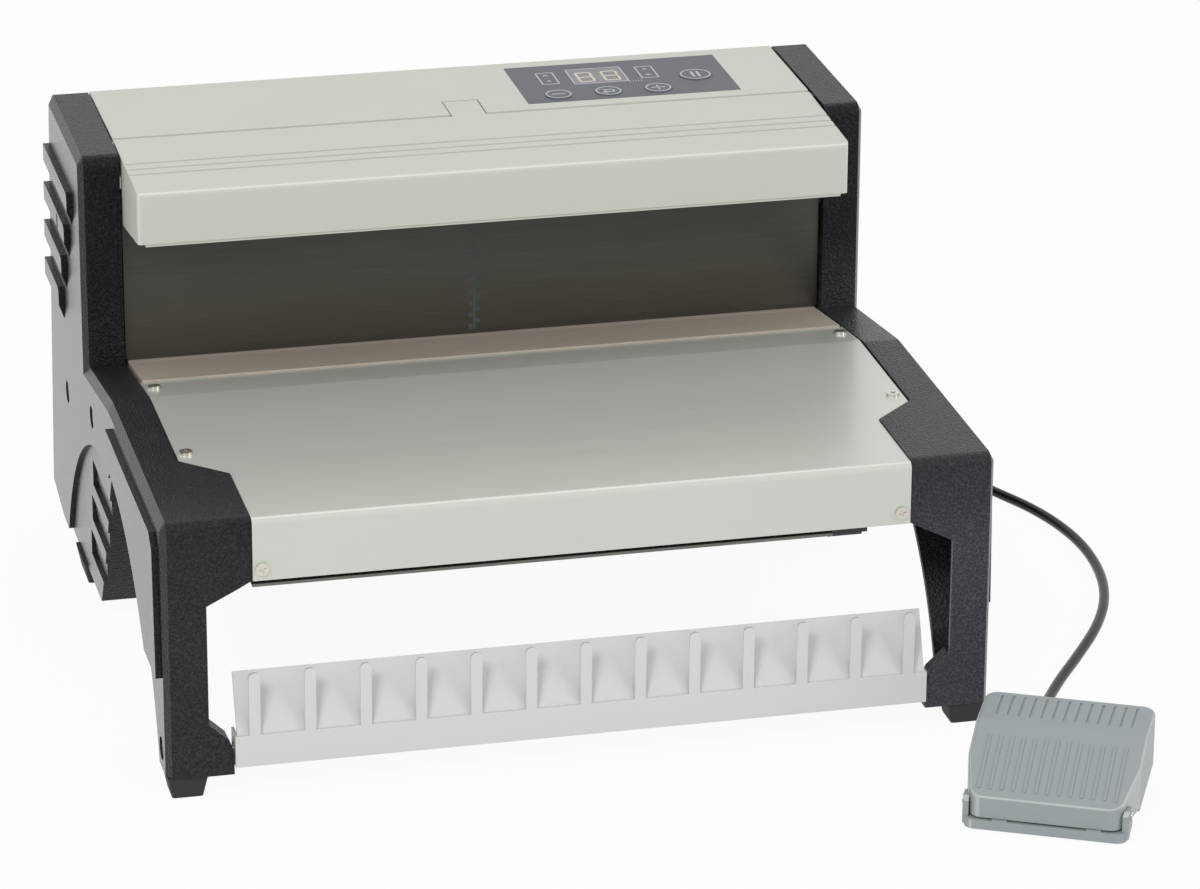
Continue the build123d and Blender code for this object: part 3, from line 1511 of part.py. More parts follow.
def coil_point(turns):
    """A point of the coil and the direction of the cord there, after a number of turns."""
    angle = 2 * math.pi * turns - math.pi / 2
    inward = min(turns, 2 * coil_turns - turns)
    radius = coil_radius - coil_pitch * inward
    rate = 0.0
    if 0.01 < turns < coil_turns - 0.01:
        rate = -coil_pitch
    if coil_turns + 0.01 < turns < 2 * coil_turns - 0.01:
        rate = coil_pitch
    climb = min(1.0, max(0.0, (turns - coil_turns + 0.25) / 0.5))
    height = coil_low + coil_layer * (0.5 - 0.5 * math.cos(math.pi * climb))
    lift = coil_layer * 0.5 * math.sin(math.pi * climb) * math.pi / 0.5 if 0 < climb < 1 else 0.0
    place = at(
        coil_x + radius * math.cos(angle), coil_y + radius * math.sin(angle), height
    )
    around = 2 * math.pi * radius
    heading = Vector(
        -around * math.sin(angle) + rate * math.cos(angle),
        around * math.cos(angle) + rate * math.sin(angle),
        lift,
    ).normalized()
    return place, heading


def meeting_point(p0, t0, p1, t1):
    """Where the two arcs of a biarc meet."""
    v = p1 - p0
    a = 2 * (t0.dot(t1) - 1)
    b = -2 * v.dot(t0 + t1)
    c = v.dot(v)
    if abs(a) < 1e-9:
        d = -c / b
    else:
        d = (-b - math.sqrt(b * b - 4 * a * c)) / (2 * a)
        if d <= 0:
            d = (-b + math.sqrt(b * b - 4 * a * c)) / (2 * a)
    return ((p0 + t0 * d) + (p1 - t1 * d)) / 2


with BuildPart() as cord_coil:
    stations = [coil_point(step / 4) for step in range(8 * coil_turns + 1)]
    with BuildLine() as loops:
        Line(stations[0][0] - Vector(cord_diameter, 0, 0), stations[0][0])
        for (p0, t0), (p1, t1) in zip(stations, stations[1:]):
            join = meeting_point(p0, t0, p1, t1)
            first = TangentArc(p0, join, tangent=t0)
            TangentArc(join, p1, tangent=first % 1)
        Line(stations[-1][0], stations[-1][0] + Vector(cord_diameter, 0, 0))
    begin = Plane(origin=stations[0][0] - Vector(cord_diameter, 0, 0), z_dir=(1, 0, 0))
    with BuildSketch(begin) as section:
        Circle(cord_radius)
    sweep(section.sketch, path=loops.wire())
    wire = loops.wire()
    coil_length = wire.length
    print(
        "cord_coil length", round(coil_length, 1), "volume share",
        round(cord_coil.part.volume / (math.pi * cord_radius**2 * coil_length), 4),
    )
    samples = 700
    spots = [wire @ (k / samples) for k in range(samples + 1)]
    apart = int(samples * 40 / coil_length)
    least = min(
        (spots[i] - spots[j]).length for i in range(len(spots)) for j in range(i + apart, len(spots))
    )
    print("cord_coil least gap to itself", round(least - cord_diameter, 2))
finish(cord_coil, "cord_coil")

with BuildPart() as coil_tie:
    inner = coil_radius - coil_pitch * (coil_turns - 0.5) - cord_radius - 0.4
    outer = coil_radius - coil_pitch * 0.5 + cord_radius + 0.4
    strap = (coil_x - tie_width / 2, coil_x + tie_width / 2)
    top = coil_high + cord_radius + 0.3
    slab(
        strap, (coil_y + inner - tie_wall, coil_y + outer + tie_wall), (cord_rest, top + tie_wall)
    )
    slab(
        (strap[0] - 1, strap[1] + 1), (coil_y + inner, coil_y + outer), (cord_rest + tie_wall, top),
        Mode.SUBTRACT,
    )
finish(coil_tie, "coil_tie")

# Overall size of the finished part, for the record
everything = [piece.part for piece in (casing_left, casing_right, pedal_base, pedal_treadle, wire_rack, feet)]
low = [min(getattr(p.bounding_box().min, axis) for p in everything) for axis in "XYZ"]
high = [max(getattr(p.bounding_box().max, axis) for p in everything) for axis in "XYZ"]
print("machine and pedal", [round(v, 2) for v in low], [round(v, 2) for v in high])
print("machine frame offset", round(machine_x, 3), round(machine_y, 3))
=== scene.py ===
"""Studio scene of an electric machine that closes wire bindings, with its foot pedal.

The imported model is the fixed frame: every piece here sits in the same place, in
metres, with +Y from the user's side to the back and +Z up. The scene dresses the
solids, lays the pedal's cord, winds the pedal's spring and adds the printed marks.
"""

from __future__ import annotations

import logging
import math
from collections.abc import Sequence
from dataclasses import dataclass
from enum import Enum

import bpy
from mathutils import Matrix, Vector


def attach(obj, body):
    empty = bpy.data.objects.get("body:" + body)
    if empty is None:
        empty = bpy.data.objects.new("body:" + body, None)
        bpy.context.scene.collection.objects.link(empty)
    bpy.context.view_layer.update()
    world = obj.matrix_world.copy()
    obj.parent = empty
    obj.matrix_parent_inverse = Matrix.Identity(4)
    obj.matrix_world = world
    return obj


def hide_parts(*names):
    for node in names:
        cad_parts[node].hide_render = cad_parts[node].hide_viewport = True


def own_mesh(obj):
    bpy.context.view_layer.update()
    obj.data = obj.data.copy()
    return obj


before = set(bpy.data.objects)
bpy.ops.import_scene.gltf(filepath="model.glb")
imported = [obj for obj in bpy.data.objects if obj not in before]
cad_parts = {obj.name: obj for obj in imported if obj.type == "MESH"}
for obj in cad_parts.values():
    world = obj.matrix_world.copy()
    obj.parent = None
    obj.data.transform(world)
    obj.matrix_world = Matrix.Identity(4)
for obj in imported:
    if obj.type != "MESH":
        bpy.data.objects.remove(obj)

LOG = logging.getLogger("closing_machine")
MILLI = 0.001
MACHINE_X = -24.859
MACHINE_Y = 117.461
NOISE_MIDDLE = 0.5
AXES = range(3)
TINY = 1e-6

Number = float | int
Span = tuple[float, float]
Triple = tuple[float, float, float]
Piece = bpy.types.Object
Material = bpy.types.Material

EVEN: Triple = (1.0, 1.0, 1.0)
WHITE: Triple = (1.0, 1.0, 1.0)


def place(x: float, y: float, z: float) -> Vector:
    """Return a point of the machine's own frame, in millimetres, as a scene point.

    Args:
        x: Millimetres to the right of the machine's centre line.
        y: Millimetres behind the front of the column.
        z: Millimetres above the floor.

    Returns:
        The same point in metres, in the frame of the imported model.
    """
    return Vector(((x + MACHINE_X) * MILLI, (y + MACHINE_Y) * MILLI, z * MILLI))


# Shader arithmetic


@dataclass
class Signal:
    """A shader socket that takes part in Python arithmetic."""

    paint: Paint
    socket: bpy.types.NodeSocket

    def __add__(self, other: Signal | Number) -> Signal:
        """Return self + other."""
        return self.paint.calculate("ADD", self, other)

    __radd__ = __add__

    def __sub__(self, other: Signal | Number) -> Signal:
        """Return self - other."""
        return self.paint.calculate("SUBTRACT", self, other)

    def __rsub__(self, other: Signal | Number) -> Signal:
        """Return other - self."""
        return self.paint.calculate("SUBTRACT", other, self)

    def __mul__(self, other: Signal | Number) -> Signal:
        """Return self * other."""
        return self.paint.calculate("MULTIPLY", self, other)

    __rmul__ = __mul__

    def __truediv__(self, other: Signal | Number) -> Signal:
        """Return self / other."""
        return self.paint.calculate("DIVIDE", self, other)

    def most(self, other: Signal | Number) -> Signal:
        """Return the larger of self and other."""
        return self.paint.calculate("MAXIMUM", self, other)

    def swing(self, amount: float) -> Signal:
        """Return a noise's rise and fall about its middle, scaled to an amount."""
        return (self - NOISE_MIDDLE) * amount

    def clamp(self) -> Signal:
        """Return the signal held between 0 and 1."""
        return self.paint.calculate("MINIMUM", self.most(0.0), 1.0)


class Paint:
    """Builds the node tree of one material or of the world."""

    def __init__(self, owner: Material | bpy.types.World) -> None:
        """Start an empty tree.

        Args:
            owner: The material or world that the tree belongs to.
        """
        owner.use_nodes = True
        self.owner = owner
        self.tree = owner.node_tree
        self.tree.nodes.clear()

    @classmethod
    def named(cls, name: str) -> Paint:
        """Return the paint of a new material."""
        return cls(bpy.data.materials.new(name))

    def node(
        self,
        kind: str,
        settings: dict[str, object] | None = None,
        sockets: dict[object, object] | None = None,
    ) -> bpy.types.Node:
        """Add a node with its settings, then its socket values or links.

        Args:
            kind: The node's Blender type.
            settings: Properties set before the sockets; "stops" fills a colour ramp.
            sockets: Values or signals by input name or index.

        Returns:
            The new node.
        """
        made = self.tree.nodes.new(kind)
        for key, value in (settings or {}).items():
            if key == "stops":
                self._fill_ramp(made, value)
            else:
                setattr(made, key, value)
        for key, value in (sockets or {}).items():
            target = made.inputs[key]
            if isinstance(value, Signal):
                self.tree.links.new(value.socket, target)
            elif isinstance(value, tuple) and target.type == "RGBA":
                target.default_value = (*value, 1.0)
            else:
                target.default_value = value
        return made

    @staticmethod
    def _fill_ramp(made: bpy.types.Node, stops: Sequence[Span]) -> None:
        """Fill a colour ramp with grey stops given as place and level."""
        ramp = made.color_ramp
        while len(ramp.elements) > 1:
            ramp.elements.remove(ramp.elements[-1])
        for index, (where, level) in enumerate(stops):
            stop = ramp.elements[0] if index == 0 else ramp.elements.new(where)
            stop.position = where
            stop.color = (level, level, level, 1.0)

    def calculate(self, operation: str, *values: Signal | Number) -> Signal:
        """Return the result of one Math node on signals or numbers."""
        made = self.node("ShaderNodeMath", {"operation": operation}, dict(enumerate(values)))
        return Signal(self, made.outputs[0])

    def coordinates(self, scale: Triple = EVEN) -> Signal:
        """Return Object coordinates, stretched by a scale."""
        source = self.node("ShaderNodeTexCoord")
        sockets = {"Vector": Signal(self, source.outputs["Object"]), "Scale": scale}
        return Signal(self, self.node("ShaderNodeMapping", None, sockets).outputs[0])

    def component(self, kind: str, output: str, name: str) -> Signal:
        """Return the part along one axis of a vector that a node gives."""
        source = Signal(self, self.node(kind).outputs[output])
        return Signal(self, self.node("ShaderNodeSeparateXYZ", None, {0: source}).outputs[name])

    def axis(self, name: str) -> Signal:
        """Return one Object coordinate, in metres."""
        return self.component("ShaderNodeTexCoord", "Object", name)

    def normal(self, name: str) -> Signal:
        """Return the part of the surface's direction along one axis, from -1 to 1."""
        return self.component("ShaderNodeNewGeometry", "Normal", name)

    def facing(self, name: str) -> Signal:
        """Return how squarely the surface faces along one axis, from 0 to 1."""
        return self.calculate("ABSOLUTE", self.normal(name))

    def outward(self) -> Signal:
        """Return how squarely the surface faces away from the machine's middle, sideways."""
        side = self.calculate("SIGN", self.axis("X") - MACHINE_X * MILLI)
        return self.normal("X") * side

    def seen_rays(self) -> Signal:
        """Return 1 for rays that carry a picture, and 0 for the light's own."""
        rays = self.node("ShaderNodeLightPath").outputs
        camera = Signal(self, rays["Is Camera Ray"])
        through = Signal(self, rays["Is Transmission Ray"])
        mirrored = Signal(self, rays["Is Glossy Ray"])
        return camera.most(through).most(mirrored)

    def noise(self, size: float, detail: float, stretch: Triple = EVEN) -> Signal:
        """Return noise whose features are about one size, in metres."""
        sockets = {
            "Vector": self.coordinates(stretch),
            "Scale": 1.0 / size,
            "Detail": detail,
            "Roughness": 0.55,
        }
        return Signal(self, self.node("ShaderNodeTexNoise", None, sockets).outputs[0])

    def cells(self, size: float) -> Signal:
        """Return the distance field of cells of about one size, in metres."""
        made = self.node(
            "ShaderNodeTexVoronoi",
            {"feature": "SMOOTH_F1"},
            {"Vector": self.coordinates(), "Scale": 1.0 / size, "Smoothness": 0.6},
        )
        return Signal(self, made.outputs["Distance"])

    def ramp(self, value: Signal, *stops: Span) -> Signal:
        """Return a value passed through a ramp of grey stops, each a place and a level."""
        made = self.node("ShaderNodeValToRGB", {"stops": stops}, {0: value})
        return Signal(self, made.outputs[0])

    def step(self, value: Signal, span: Span) -> Signal:
        """Return 0 below a span of the value, 1 above it, and a slope within it."""
        return self.ramp(value, (span[0], 0.0), (span[1], 1.0))

    def mix(
        self, share: Signal | Number, first: Signal | Triple, second: Signal | Triple
    ) -> Signal:
        """Return a colour between two colours, by a share."""
        sockets = {0: share, 6: first, 7: second}
        return Signal(self, self.node("ShaderNodeMix", {"data_type": "RGBA"}, sockets).outputs[2])

    def bump(self, height: Signal, depth: float) -> Signal:
        """Return a normal bent by a height field of a depth in metres."""
        sockets = {"Strength": 1.0, "Distance": depth, "Height": height}
        return Signal(self, self.node("ShaderNodeBump", None, sockets).outputs[0])

    def shader(self, kind: str, **sockets: object) -> Signal:
        """Return a shader.

        Args:
            kind: The shader's Blender type.
            sockets: Its inputs, with _ for the space in each name.

        Returns:
            The shader node's result.
        """
        values = {key.replace("_", " "): value for key, value in sockets.items()}
        return Signal(self, self.node(kind, None, values).outputs[0])

    def blend(self, share: Signal, first: Signal, second: Signal) -> Signal:
        """Return a shader between two shaders, by a share."""
        made = self.node("ShaderNodeMixShader", None, {0: share, 1: first, 2: second})
        return Signal(self, made.outputs[0])

    def surface(self, **sockets: object) -> Material:
        """Close a material with a Principled shader of the inputs given, and return it."""
        shader = self.shader("ShaderNodeBsdfPrincipled", **sockets)
        self.node("ShaderNodeOutputMaterial", None, {"Surface": shader})
        return self.owner


# Finishes


@dataclass(frozen=True)
class Coating:
    """The base of every finish: a skin between two colours, more or less rough."""

    name: str
    colour: Triple
    shade: Triple
    roughness: float

    def make(self) -> Material:
        """Return the finish as a new material."""
        return self.lay(Paint.named(self.name))

    def lay(self, paint: Paint) -> Material:
        """Build the finish's node tree and return its material."""
        raise NotImplementedError

    def skin(self, paint: Paint, share: Signal) -> Signal:
        """Return a colour from the finish's own toward its shade, by a share."""
        return paint.mix(share.clamp(), self.colour, self.shade)


@dataclass(frozen=True)
class PeelPaint(Coating):
    """Orange-peel moulding: satin skin with a dimpled grain, slicker on its outer faces."""

    slick_colour: Triple
    slick_roughness: float = 0.24
    slick_coat: float = 0.37
    upward_coat: float = 0.16
    least_coat: float = 0.01
    coat_roughness: float = 0.16
    sheen: float = 0.12
    grain: float = 0.0011
    depth: float = 0.00060
    square: Span = (0.80, 0.97)
    height_scale: float = 5.0
    # painted light: heights below which the casing is painted paler
    foot_light_stops: tuple[Span, Span] = ((0.45, 1.0), (0.80, 0.0))

    def lay(self, paint: Paint) -> Material:
        """Return the material, with painted light: paler toward its foot and on its lit right
        side.
        """
        pebbles = paint.cells(self.grain)
        fine = paint.noise(self.grain * 0.4, 3.0)
        cloud = paint.noise(0.05, 4.0)
        slick = paint.step(paint.outward(), self.square)
        upward = paint.step(paint.facing("Z"), self.square)
        height = (pebbles * 0.9 + fine * 0.35) * (1 - slick * 0.75)
        speck = paint.step(pebbles * 0.6 + fine * 0.7, (0.50, 0.90))
        dust = paint.step(cloud, (0.40, 0.75))
        # painted light: paler toward the foot and toward the right (+X) side, standing in for the
        # light that the floor and lamps throw on the legs
        foot = paint.ramp(paint.axis("Z") * self.height_scale, *self.foot_light_stops)
        pale = foot * (0.30 + paint.axis("X") * 0.8)
        grained = self.skin(paint, speck * (pale + 0.22) + pale + dust * 0.08)
        open_grain = self.roughness + fine.swing(0.16) + cloud.swing(0.10)
        rough = open_grain * (1 - slick) + self.slick_roughness * slick
        coat = slick * self.slick_coat + upward * self.upward_coat + self.least_coat
        return paint.surface(
            Base_Color=paint.mix(slick, grained, self.slick_colour),
            Roughness=rough.clamp(),
            Normal=paint.bump(height, self.depth),
            Specular_IOR_Level=self.sheen,
            Coat_Weight=coat.clamp(),
            Coat_Roughness=self.coat_roughness,
        )


@dataclass(frozen=True)
class FineMoulding(Coating):
    """Moulded plastic with a fine spark-eroded grain, a little smoother where it is handled."""

    grain: float
    depth: float = 0.00005

    def lay(self, paint: Paint) -> Material:
        """Return the material."""
        fine = paint.noise(self.grain, 4.0)
        cloud = paint.noise(0.07, 3.0)
        handled = paint.step(paint.noise(0.025, 5.0), (0.52, 0.78))
        rough = self.roughness + fine.swing(0.14) - handled * 0.06
        return paint.surface(
            Base_Color=self.skin(paint, (cloud - 0.35) * 0.55 + fine.swing(0.35)),
            Roughness=rough.clamp(),
            Normal=paint.bump(fine, self.depth),
        )


@dataclass(frozen=True)
class CoverMoulding(Coating):
    """Moulded cover with a painted highlight: its rounded edges are painted a little paler."""

    # colour of the painted highlight on the rounded edges
    painted_highlight: Triple
    sheen: float = 0.5
    grain: float = 0.0006
    depth: float = 0.00004
    edge: tuple[Span, Span] = ((0.74, 1.0), (0.86, 0.0))

    def lay(self, paint: Paint) -> Material:
        """Return the material."""
        fine = paint.noise(self.grain, 4.0)
        cloud = paint.noise(0.07, 3.0)
        skin = self.skin(paint, (cloud - 0.35) * 0.55 + fine.swing(0.35))
        squarest = paint.facing("X").most(paint.facing("Y")).most(paint.facing("Z"))
        # painted highlight: the rounded edges are painted toward the highlight colour
        rounded = paint.ramp(squarest, *self.edge)
        highlight_share = rounded * (0.75 + fine * 0.2)
        rough = self.roughness + fine.swing(0.14) - rounded * 0.10
        return paint.surface(
            Base_Color=paint.mix(highlight_share.clamp(), skin, self.painted_highlight),
            Roughness=rough.clamp(),
            Specular_IOR_Level=self.sheen,
            Normal=paint.bump(fine, self.depth),
        )


@dataclass(frozen=True)
class SatinPaint(Coating):
    """Stove-enamelled sheet metal, nearly smooth, with a faint ripple."""

    coat: float = 0.12
    metallic: float = 0.0
    coat_roughness: float = 0.14
    depth: float = 0.00002

    def lay(self, paint: Paint) -> Material:
        """Return the material."""
        ripple = paint.noise(0.0011, 2.0)
        rolled = paint.noise(0.012, 3.0, (0.12, 1.0, 1.0))
        cloud = paint.noise(0.09, 2.0)
        return paint.surface(
            Base_Color=self.skin(paint, (cloud - 0.4) * 0.5 + rolled.swing(0.25)),
            Roughness=(self.roughness + rolled.swing(0.10)).clamp(),
            Metallic=self.metallic,
            Coat_Weight=self.coat,
            Coat_Roughness=self.coat_roughness,
            Normal=paint.bump(ripple, self.depth),
        )


@dataclass(frozen=True)
class GroundMetal(Coating):
    """Ground metal, with its grain drawn out along the machine's axes by a stretch."""

    stretch: Triple
    metallic: float = 1.0
    depth: float = 0.00002

    def lay(self, paint: Paint) -> Material:
        """Return the material."""
        lines = paint.noise(0.0006, 3.0, self.stretch)
        bands = paint.noise(0.004, 2.0, self.stretch)
        stain = paint.step(paint.noise(0.03, 5.0), (0.45, 0.75))
        rough = self.roughness + lines.swing(0.20) + stain * 0.08
        return paint.surface(
            Base_Color=self.skin(paint, lines.swing(0.5) + bands.swing(0.4) + stain * 0.4),
            Metallic=self.metallic,
            Roughness=rough.clamp(),
            Normal=paint.bump(lines, self.depth),
        )


@dataclass(frozen=True)
class PressSteel(Coating):
    """Dark ground steel with painted light and shade: paler below, and painted darker toward its
    upper edge, where the hood shades it.
    """

    low: float
    high: float
    metallic: float = 0.9
    depth: float = 0.00002
    fall: tuple[Span, ...] = ((0.05, 0.9), (0.30, 1.0), (0.55, 0.75), (1.0, 0.0))

    def lay(self, paint: Paint) -> Material:
        """Return the material."""
        lines = paint.noise(0.0006, 3.0, (0.03, 1.0, 1.0))
        bands = paint.noise(0.006, 2.0, (0.05, 1.0, 1.0))
        cloud = paint.noise(0.06, 3.0)
        # painted shade: the plate is painted darker toward its top, under the hood, and paler
        # below
        rise = (paint.axis("Z") - self.low) / (self.high - self.low)
        painted_shade_ramp = paint.ramp(rise + cloud.swing(0.25), *self.fall)
        rough = self.roughness + lines.swing(0.20) + cloud.swing(0.10)
        return paint.surface(
            Base_Color=self.skin(paint, painted_shade_ramp * 0.8 + lines.swing(0.5) + bands.swing(0.3)),
            Metallic=self.metallic,
            Roughness=rough.clamp(),
            Normal=paint.bump(lines, self.depth),
        )


@dataclass(frozen=True)
class SoftRubber(Coating):
    """Black rubber with a faint bloom."""

    grain: float = 0.0008
    depth: float = 0.00004
    sheen: float = 0.5

    def lay(self, paint: Paint) -> Material:
        """Return the material."""
        fine = paint.noise(self.grain, 3.0)
        bloom = paint.step(paint.noise(0.02, 4.0), (0.45, 0.80))
        return paint.surface(
            Base_Color=self.skin(paint, bloom * 0.5 + fine.swing(0.2)),
            Roughness=(self.roughness + bloom * 0.10).clamp(),
            Specular_IOR_Level=self.sheen,
            Normal=paint.bump(fine, self.depth),
        )


@dataclass(frozen=True)
class PrintedFilm(Coating):
    """Film or ink with a fine haze and wiped patches."""

    coat: float
    sheen: float = 0.5
    coat_roughness: float = 0.18
    depth: float = 0.00001

    def lay(self, paint: Paint) -> Material:
        """Return the material."""
        haze = paint.noise(0.0025, 4.0)
        wiped = paint.step(paint.noise(0.02, 4.0, (0.4, 1.0, 1.0)), (0.45, 0.8))
        rough = self.roughness + wiped * 0.08 + haze.swing(0.05)
        return paint.surface(
            Base_Color=self.skin(paint, haze * 0.4 + wiped * 0.4),
            Roughness=rough.clamp(),
            Specular_IOR_Level=self.sheen,
            Coat_Weight=self.coat,
            Coat_Roughness=self.coat_roughness,
            Normal=paint.bump(haze, self.depth),
        )


@dataclass(frozen=True)
class ClearPane(Coating):
    """Tinted pane over the display."""

    cover: float
    sheen: float = 0.3

    def lay(self, paint: Paint) -> Material:
        """Return the material."""
        haze = paint.noise(0.003, 3.0)
        return paint.surface(
            Base_Color=self.skin(paint, haze * 0.3),
            Roughness=(self.roughness + haze * 0.10).clamp(),
            Alpha=self.cover + haze * 0.05,
            Specular_IOR_Level=self.sheen,
        )


class Finish(Enum):
    """Every finish of the machine and its pedal: name, colour, shade, roughness and more."""

    CASING = PeelPaint(
        "casing_peel", (0.0028, 0.0036, 0.0048), (0.074, 0.080, 0.090), 0.33,
        slick_colour=(0.0055, 0.0075, 0.0115),
    )
    COVER = CoverMoulding(
        "cover_moulding", (0.585, 0.592, 0.530), (0.630, 0.636, 0.575), 0.42,
        # the edge colour below is a painted highlight on the rounded edges
        painted_highlight=(0.80, 0.79, 0.72),
    )
    SHEET = SatinPaint(
        "sheet_enamel", (0.590, 0.610, 0.556), (0.650, 0.668, 0.614), 0.30,
        coat=0.30, metallic=0.30,
    )
    RACK = SatinPaint("rack_enamel", (0.665, 0.680, 0.660), (0.715, 0.728, 0.705), 0.40)
    PLATE = PressSteel(
        # the dark colour is the painted shade at the top, the pale one the painted light below
        "press_plate_steel", (0.064, 0.059, 0.056), (0.122, 0.116, 0.100), 0.36,
        low=0.123, high=0.192,
    )
    STRIP = GroundMetal(
        "anvil_steel", (0.570, 0.500, 0.430), (0.400, 0.345, 0.290), 0.48,
        stretch=(0.04, 1.0, 1.0), metallic=0.25,
    )
    MACHINED = GroundMetal(
        "machined_steel", (0.56, 0.55, 0.53), (0.40, 0.39, 0.36), 0.28, stretch=(1.0, 0.15, 1.0)
    )
    ZINC = GroundMetal(
        "zinc_plate", (0.60, 0.61, 0.62), (0.44, 0.45, 0.44), 0.36, stretch=(1.0, 1.0, 0.4)
    )
    PAN = GroundMetal(
        "dull_zinc", (0.17, 0.17, 0.155), (0.11, 0.11, 0.10), 0.48,
        stretch=(1.0, 1.0, 0.4), metallic=0.6,
    )
    NICKEL = GroundMetal("nickel_screws", (0.68, 0.65, 0.58), (0.48, 0.46, 0.40), 0.24, EVEN)
    BRONZE = GroundMetal("bronze_bush", (0.62, 0.42, 0.20), (0.40, 0.26, 0.12), 0.38, EVEN)
    ENAMEL = SatinPaint("motor_enamel", (0.050, 0.052, 0.058), (0.075, 0.078, 0.084), 0.38)
    PANEL = PrintedFilm(
        "panel_film", (0.098, 0.100, 0.120), (0.120, 0.122, 0.145), 0.42, coat=0.0, sheen=0.3
    )
    MARK = PrintedFilm("printed_mark", (0.46, 0.52, 0.54), (0.52, 0.57, 0.59), 0.45, coat=0.1)
    DIGIT = PrintedFilm("display_segments", (0.60, 0.57, 0.44), (0.68, 0.64, 0.52), 0.40, coat=0.0)
    CELL = PrintedFilm("display_cell", (0.30, 0.28, 0.31), (0.36, 0.34, 0.37), 0.35, coat=0.2)
    TEAL = PrintedFilm("teal_ink", (0.052, 0.076, 0.080), (0.066, 0.090, 0.092), 0.50, coat=0.0)
    PANE = ClearPane("display_pane", (0.30, 0.28, 0.315), (0.40, 0.38, 0.41), 0.10, cover=0.72)
    BOARD = FineMoulding(
        "circuit_lacquer", (0.012, 0.120, 0.045), (0.030, 0.180, 0.080), 0.32, grain=0.0016
    )
    BLACK = FineMoulding(
        "black_moulding", (0.018, 0.018, 0.020), (0.030, 0.030, 0.033), 0.44, grain=0.0007
    )
    PEDAL = CoverMoulding(
        "pedal_moulding", (0.330, 0.364, 0.372), (0.372, 0.408, 0.415), 0.38,
        # the edge colour below is a painted highlight on the pedal's rounded edges
        painted_highlight=(0.520, 0.550, 0.555), sheen=0.16,
    )
    RUBBER = SoftRubber("foot_rubber", (0.018, 0.018, 0.019), (0.045, 0.045, 0.046), 0.72)
    JACKET = SoftRubber(
        "cord_jacket", (0.007, 0.007, 0.009), (0.020, 0.020, 0.023), 0.22,
        grain=0.0014, depth=0.00001, sheen=0.26,
    )


class Finishes:
    """Makes each finish once and hands it out."""

    def __init__(self) -> None:
        """Start with no material made."""
        self.made: dict[Finish, Material] = {}

    def get(self, finish: Finish) -> Material:
        """Return the material of a finish."""
        if finish not in self.made:
            self.made[finish] = finish.value.make()
        return self.made[finish]

    def dress(self, piece: Piece, finish: Finish) -> None:
        """Give every material slot of a piece one finish.

        Args:
            piece: The object to dress.
            finish: The finish that its whole surface takes.
        """
        material = self.get(finish)
        if not piece.material_slots:
            piece.data.materials.append(material)
        for slot in piece.material_slots:
            slot.material = material


# Modelling by hand


class Bench:
    """Small modelling steps, done with Blender's own operators."""

    BEVEL_SHARE: float = 0.35
    BEVEL_STEPS: int = 2
    RING_SIDES: int = 56

    @staticmethod
    def clear() -> None:
        """Leave edit mode and deselect everything."""
        if bpy.context.object and bpy.context.object.mode != "OBJECT":
            bpy.ops.object.mode_set(mode="OBJECT")
        bpy.ops.object.select_all(action="DESELECT")

    @staticmethod
    def name(name: str) -> Piece:
        """Name the active object and its mesh, and return it."""
        piece = bpy.context.object
        piece.name = name
        piece.data.name = name
        return piece

    @classmethod
    def settle(cls, piece: Piece) -> Piece:
        """Apply a piece's place, turn and scale to its mesh."""
        cls.clear()
        piece.select_set(True)
        bpy.context.view_layer.objects.active = piece
        bpy.ops.object.transform_apply(location=True, rotation=True, scale=True)
        return piece

    @classmethod
    def join(cls, pieces: list[Piece], name: str) -> Piece:
        """Join several settled pieces into one."""
        cls.clear()
        for piece in pieces:
            piece.select_set(True)
        bpy.context.view_layer.objects.active = pieces[0]
        bpy.ops.object.join()
        return cls.name(name)

    @classmethod
    def block(cls, centre: Vector, size: Triple, turn: float = 0.0) -> Piece:
        """Return a plain block.

        Args:
            centre: The middle of the block, in metres.
            size: Its width, length and height, in metres.
            turn: Its turn about Z, in radians.

        Returns:
            The block, settled in place.
        """
        cls.clear()
        bpy.ops.mesh.primitive_cube_add(size=1.0, location=centre, rotation=(0.0, 0.0, turn))
        piece = bpy.context.object
        piece.scale = size
        return cls.settle(piece)

    @classmethod
    def bar(cls, centre: Vector, size: Triple, turn: float = 0.0) -> Piece:
        """Return a flat printed bar: a block, placed as above, with bevelled upper edges."""
        piece = cls.block(centre, size, turn)
        mesh = piece.data
        top = max(vertex.co.z for vertex in mesh.vertices) - TINY
        for polygon in mesh.polygons:
            polygon.select = polygon.center.z > top
        for edge in mesh.edges:
            edge.select = all(mesh.vertices[end].co.z > top for end in edge.vertices)
        for vertex in mesh.vertices:
            vertex.select = vertex.co.z > top
        bpy.ops.object.mode_set(mode="EDIT")
        bpy.ops.mesh.bevel(offset=size[2] * cls.BEVEL_SHARE, segments=cls.BEVEL_STEPS)
        bpy.ops.object.mode_set(mode="OBJECT")
        return piece

    @classmethod
    def ring(cls, centre: Vector, radius: float, width: float, height: float) -> Piece:
        """Return a flat printed ring, inset and raised from a disc.

        Args:
            centre: The middle of the ring, in metres.
            radius: Its outer radius.
            width: How wide the line is.
            height: How thick the line is.

        Returns:
            The ring, settled in place.
        """
        cls.clear()
        bpy.ops.mesh.primitive_circle_add(
            vertices=cls.RING_SIDES, radius=radius, fill_type="NGON", location=centre
        )
        piece = bpy.context.object
        bpy.ops.object.mode_set(mode="EDIT")
        bpy.ops.mesh.inset(thickness=width)
        bpy.ops.mesh.delete(type="FACE")
        bpy.ops.mesh.select_all(action="SELECT")
        bpy.ops.mesh.extrude_region_move(TRANSFORM_OT_translate={"value": (0.0, 0.0, height)})
        bpy.ops.mesh.select_all(action="SELECT")
        bpy.ops.mesh.normals_make_consistent(inside=False)
        bpy.ops.object.mode_set(mode="OBJECT")
        return cls.settle(piece)


# The pedal's cord


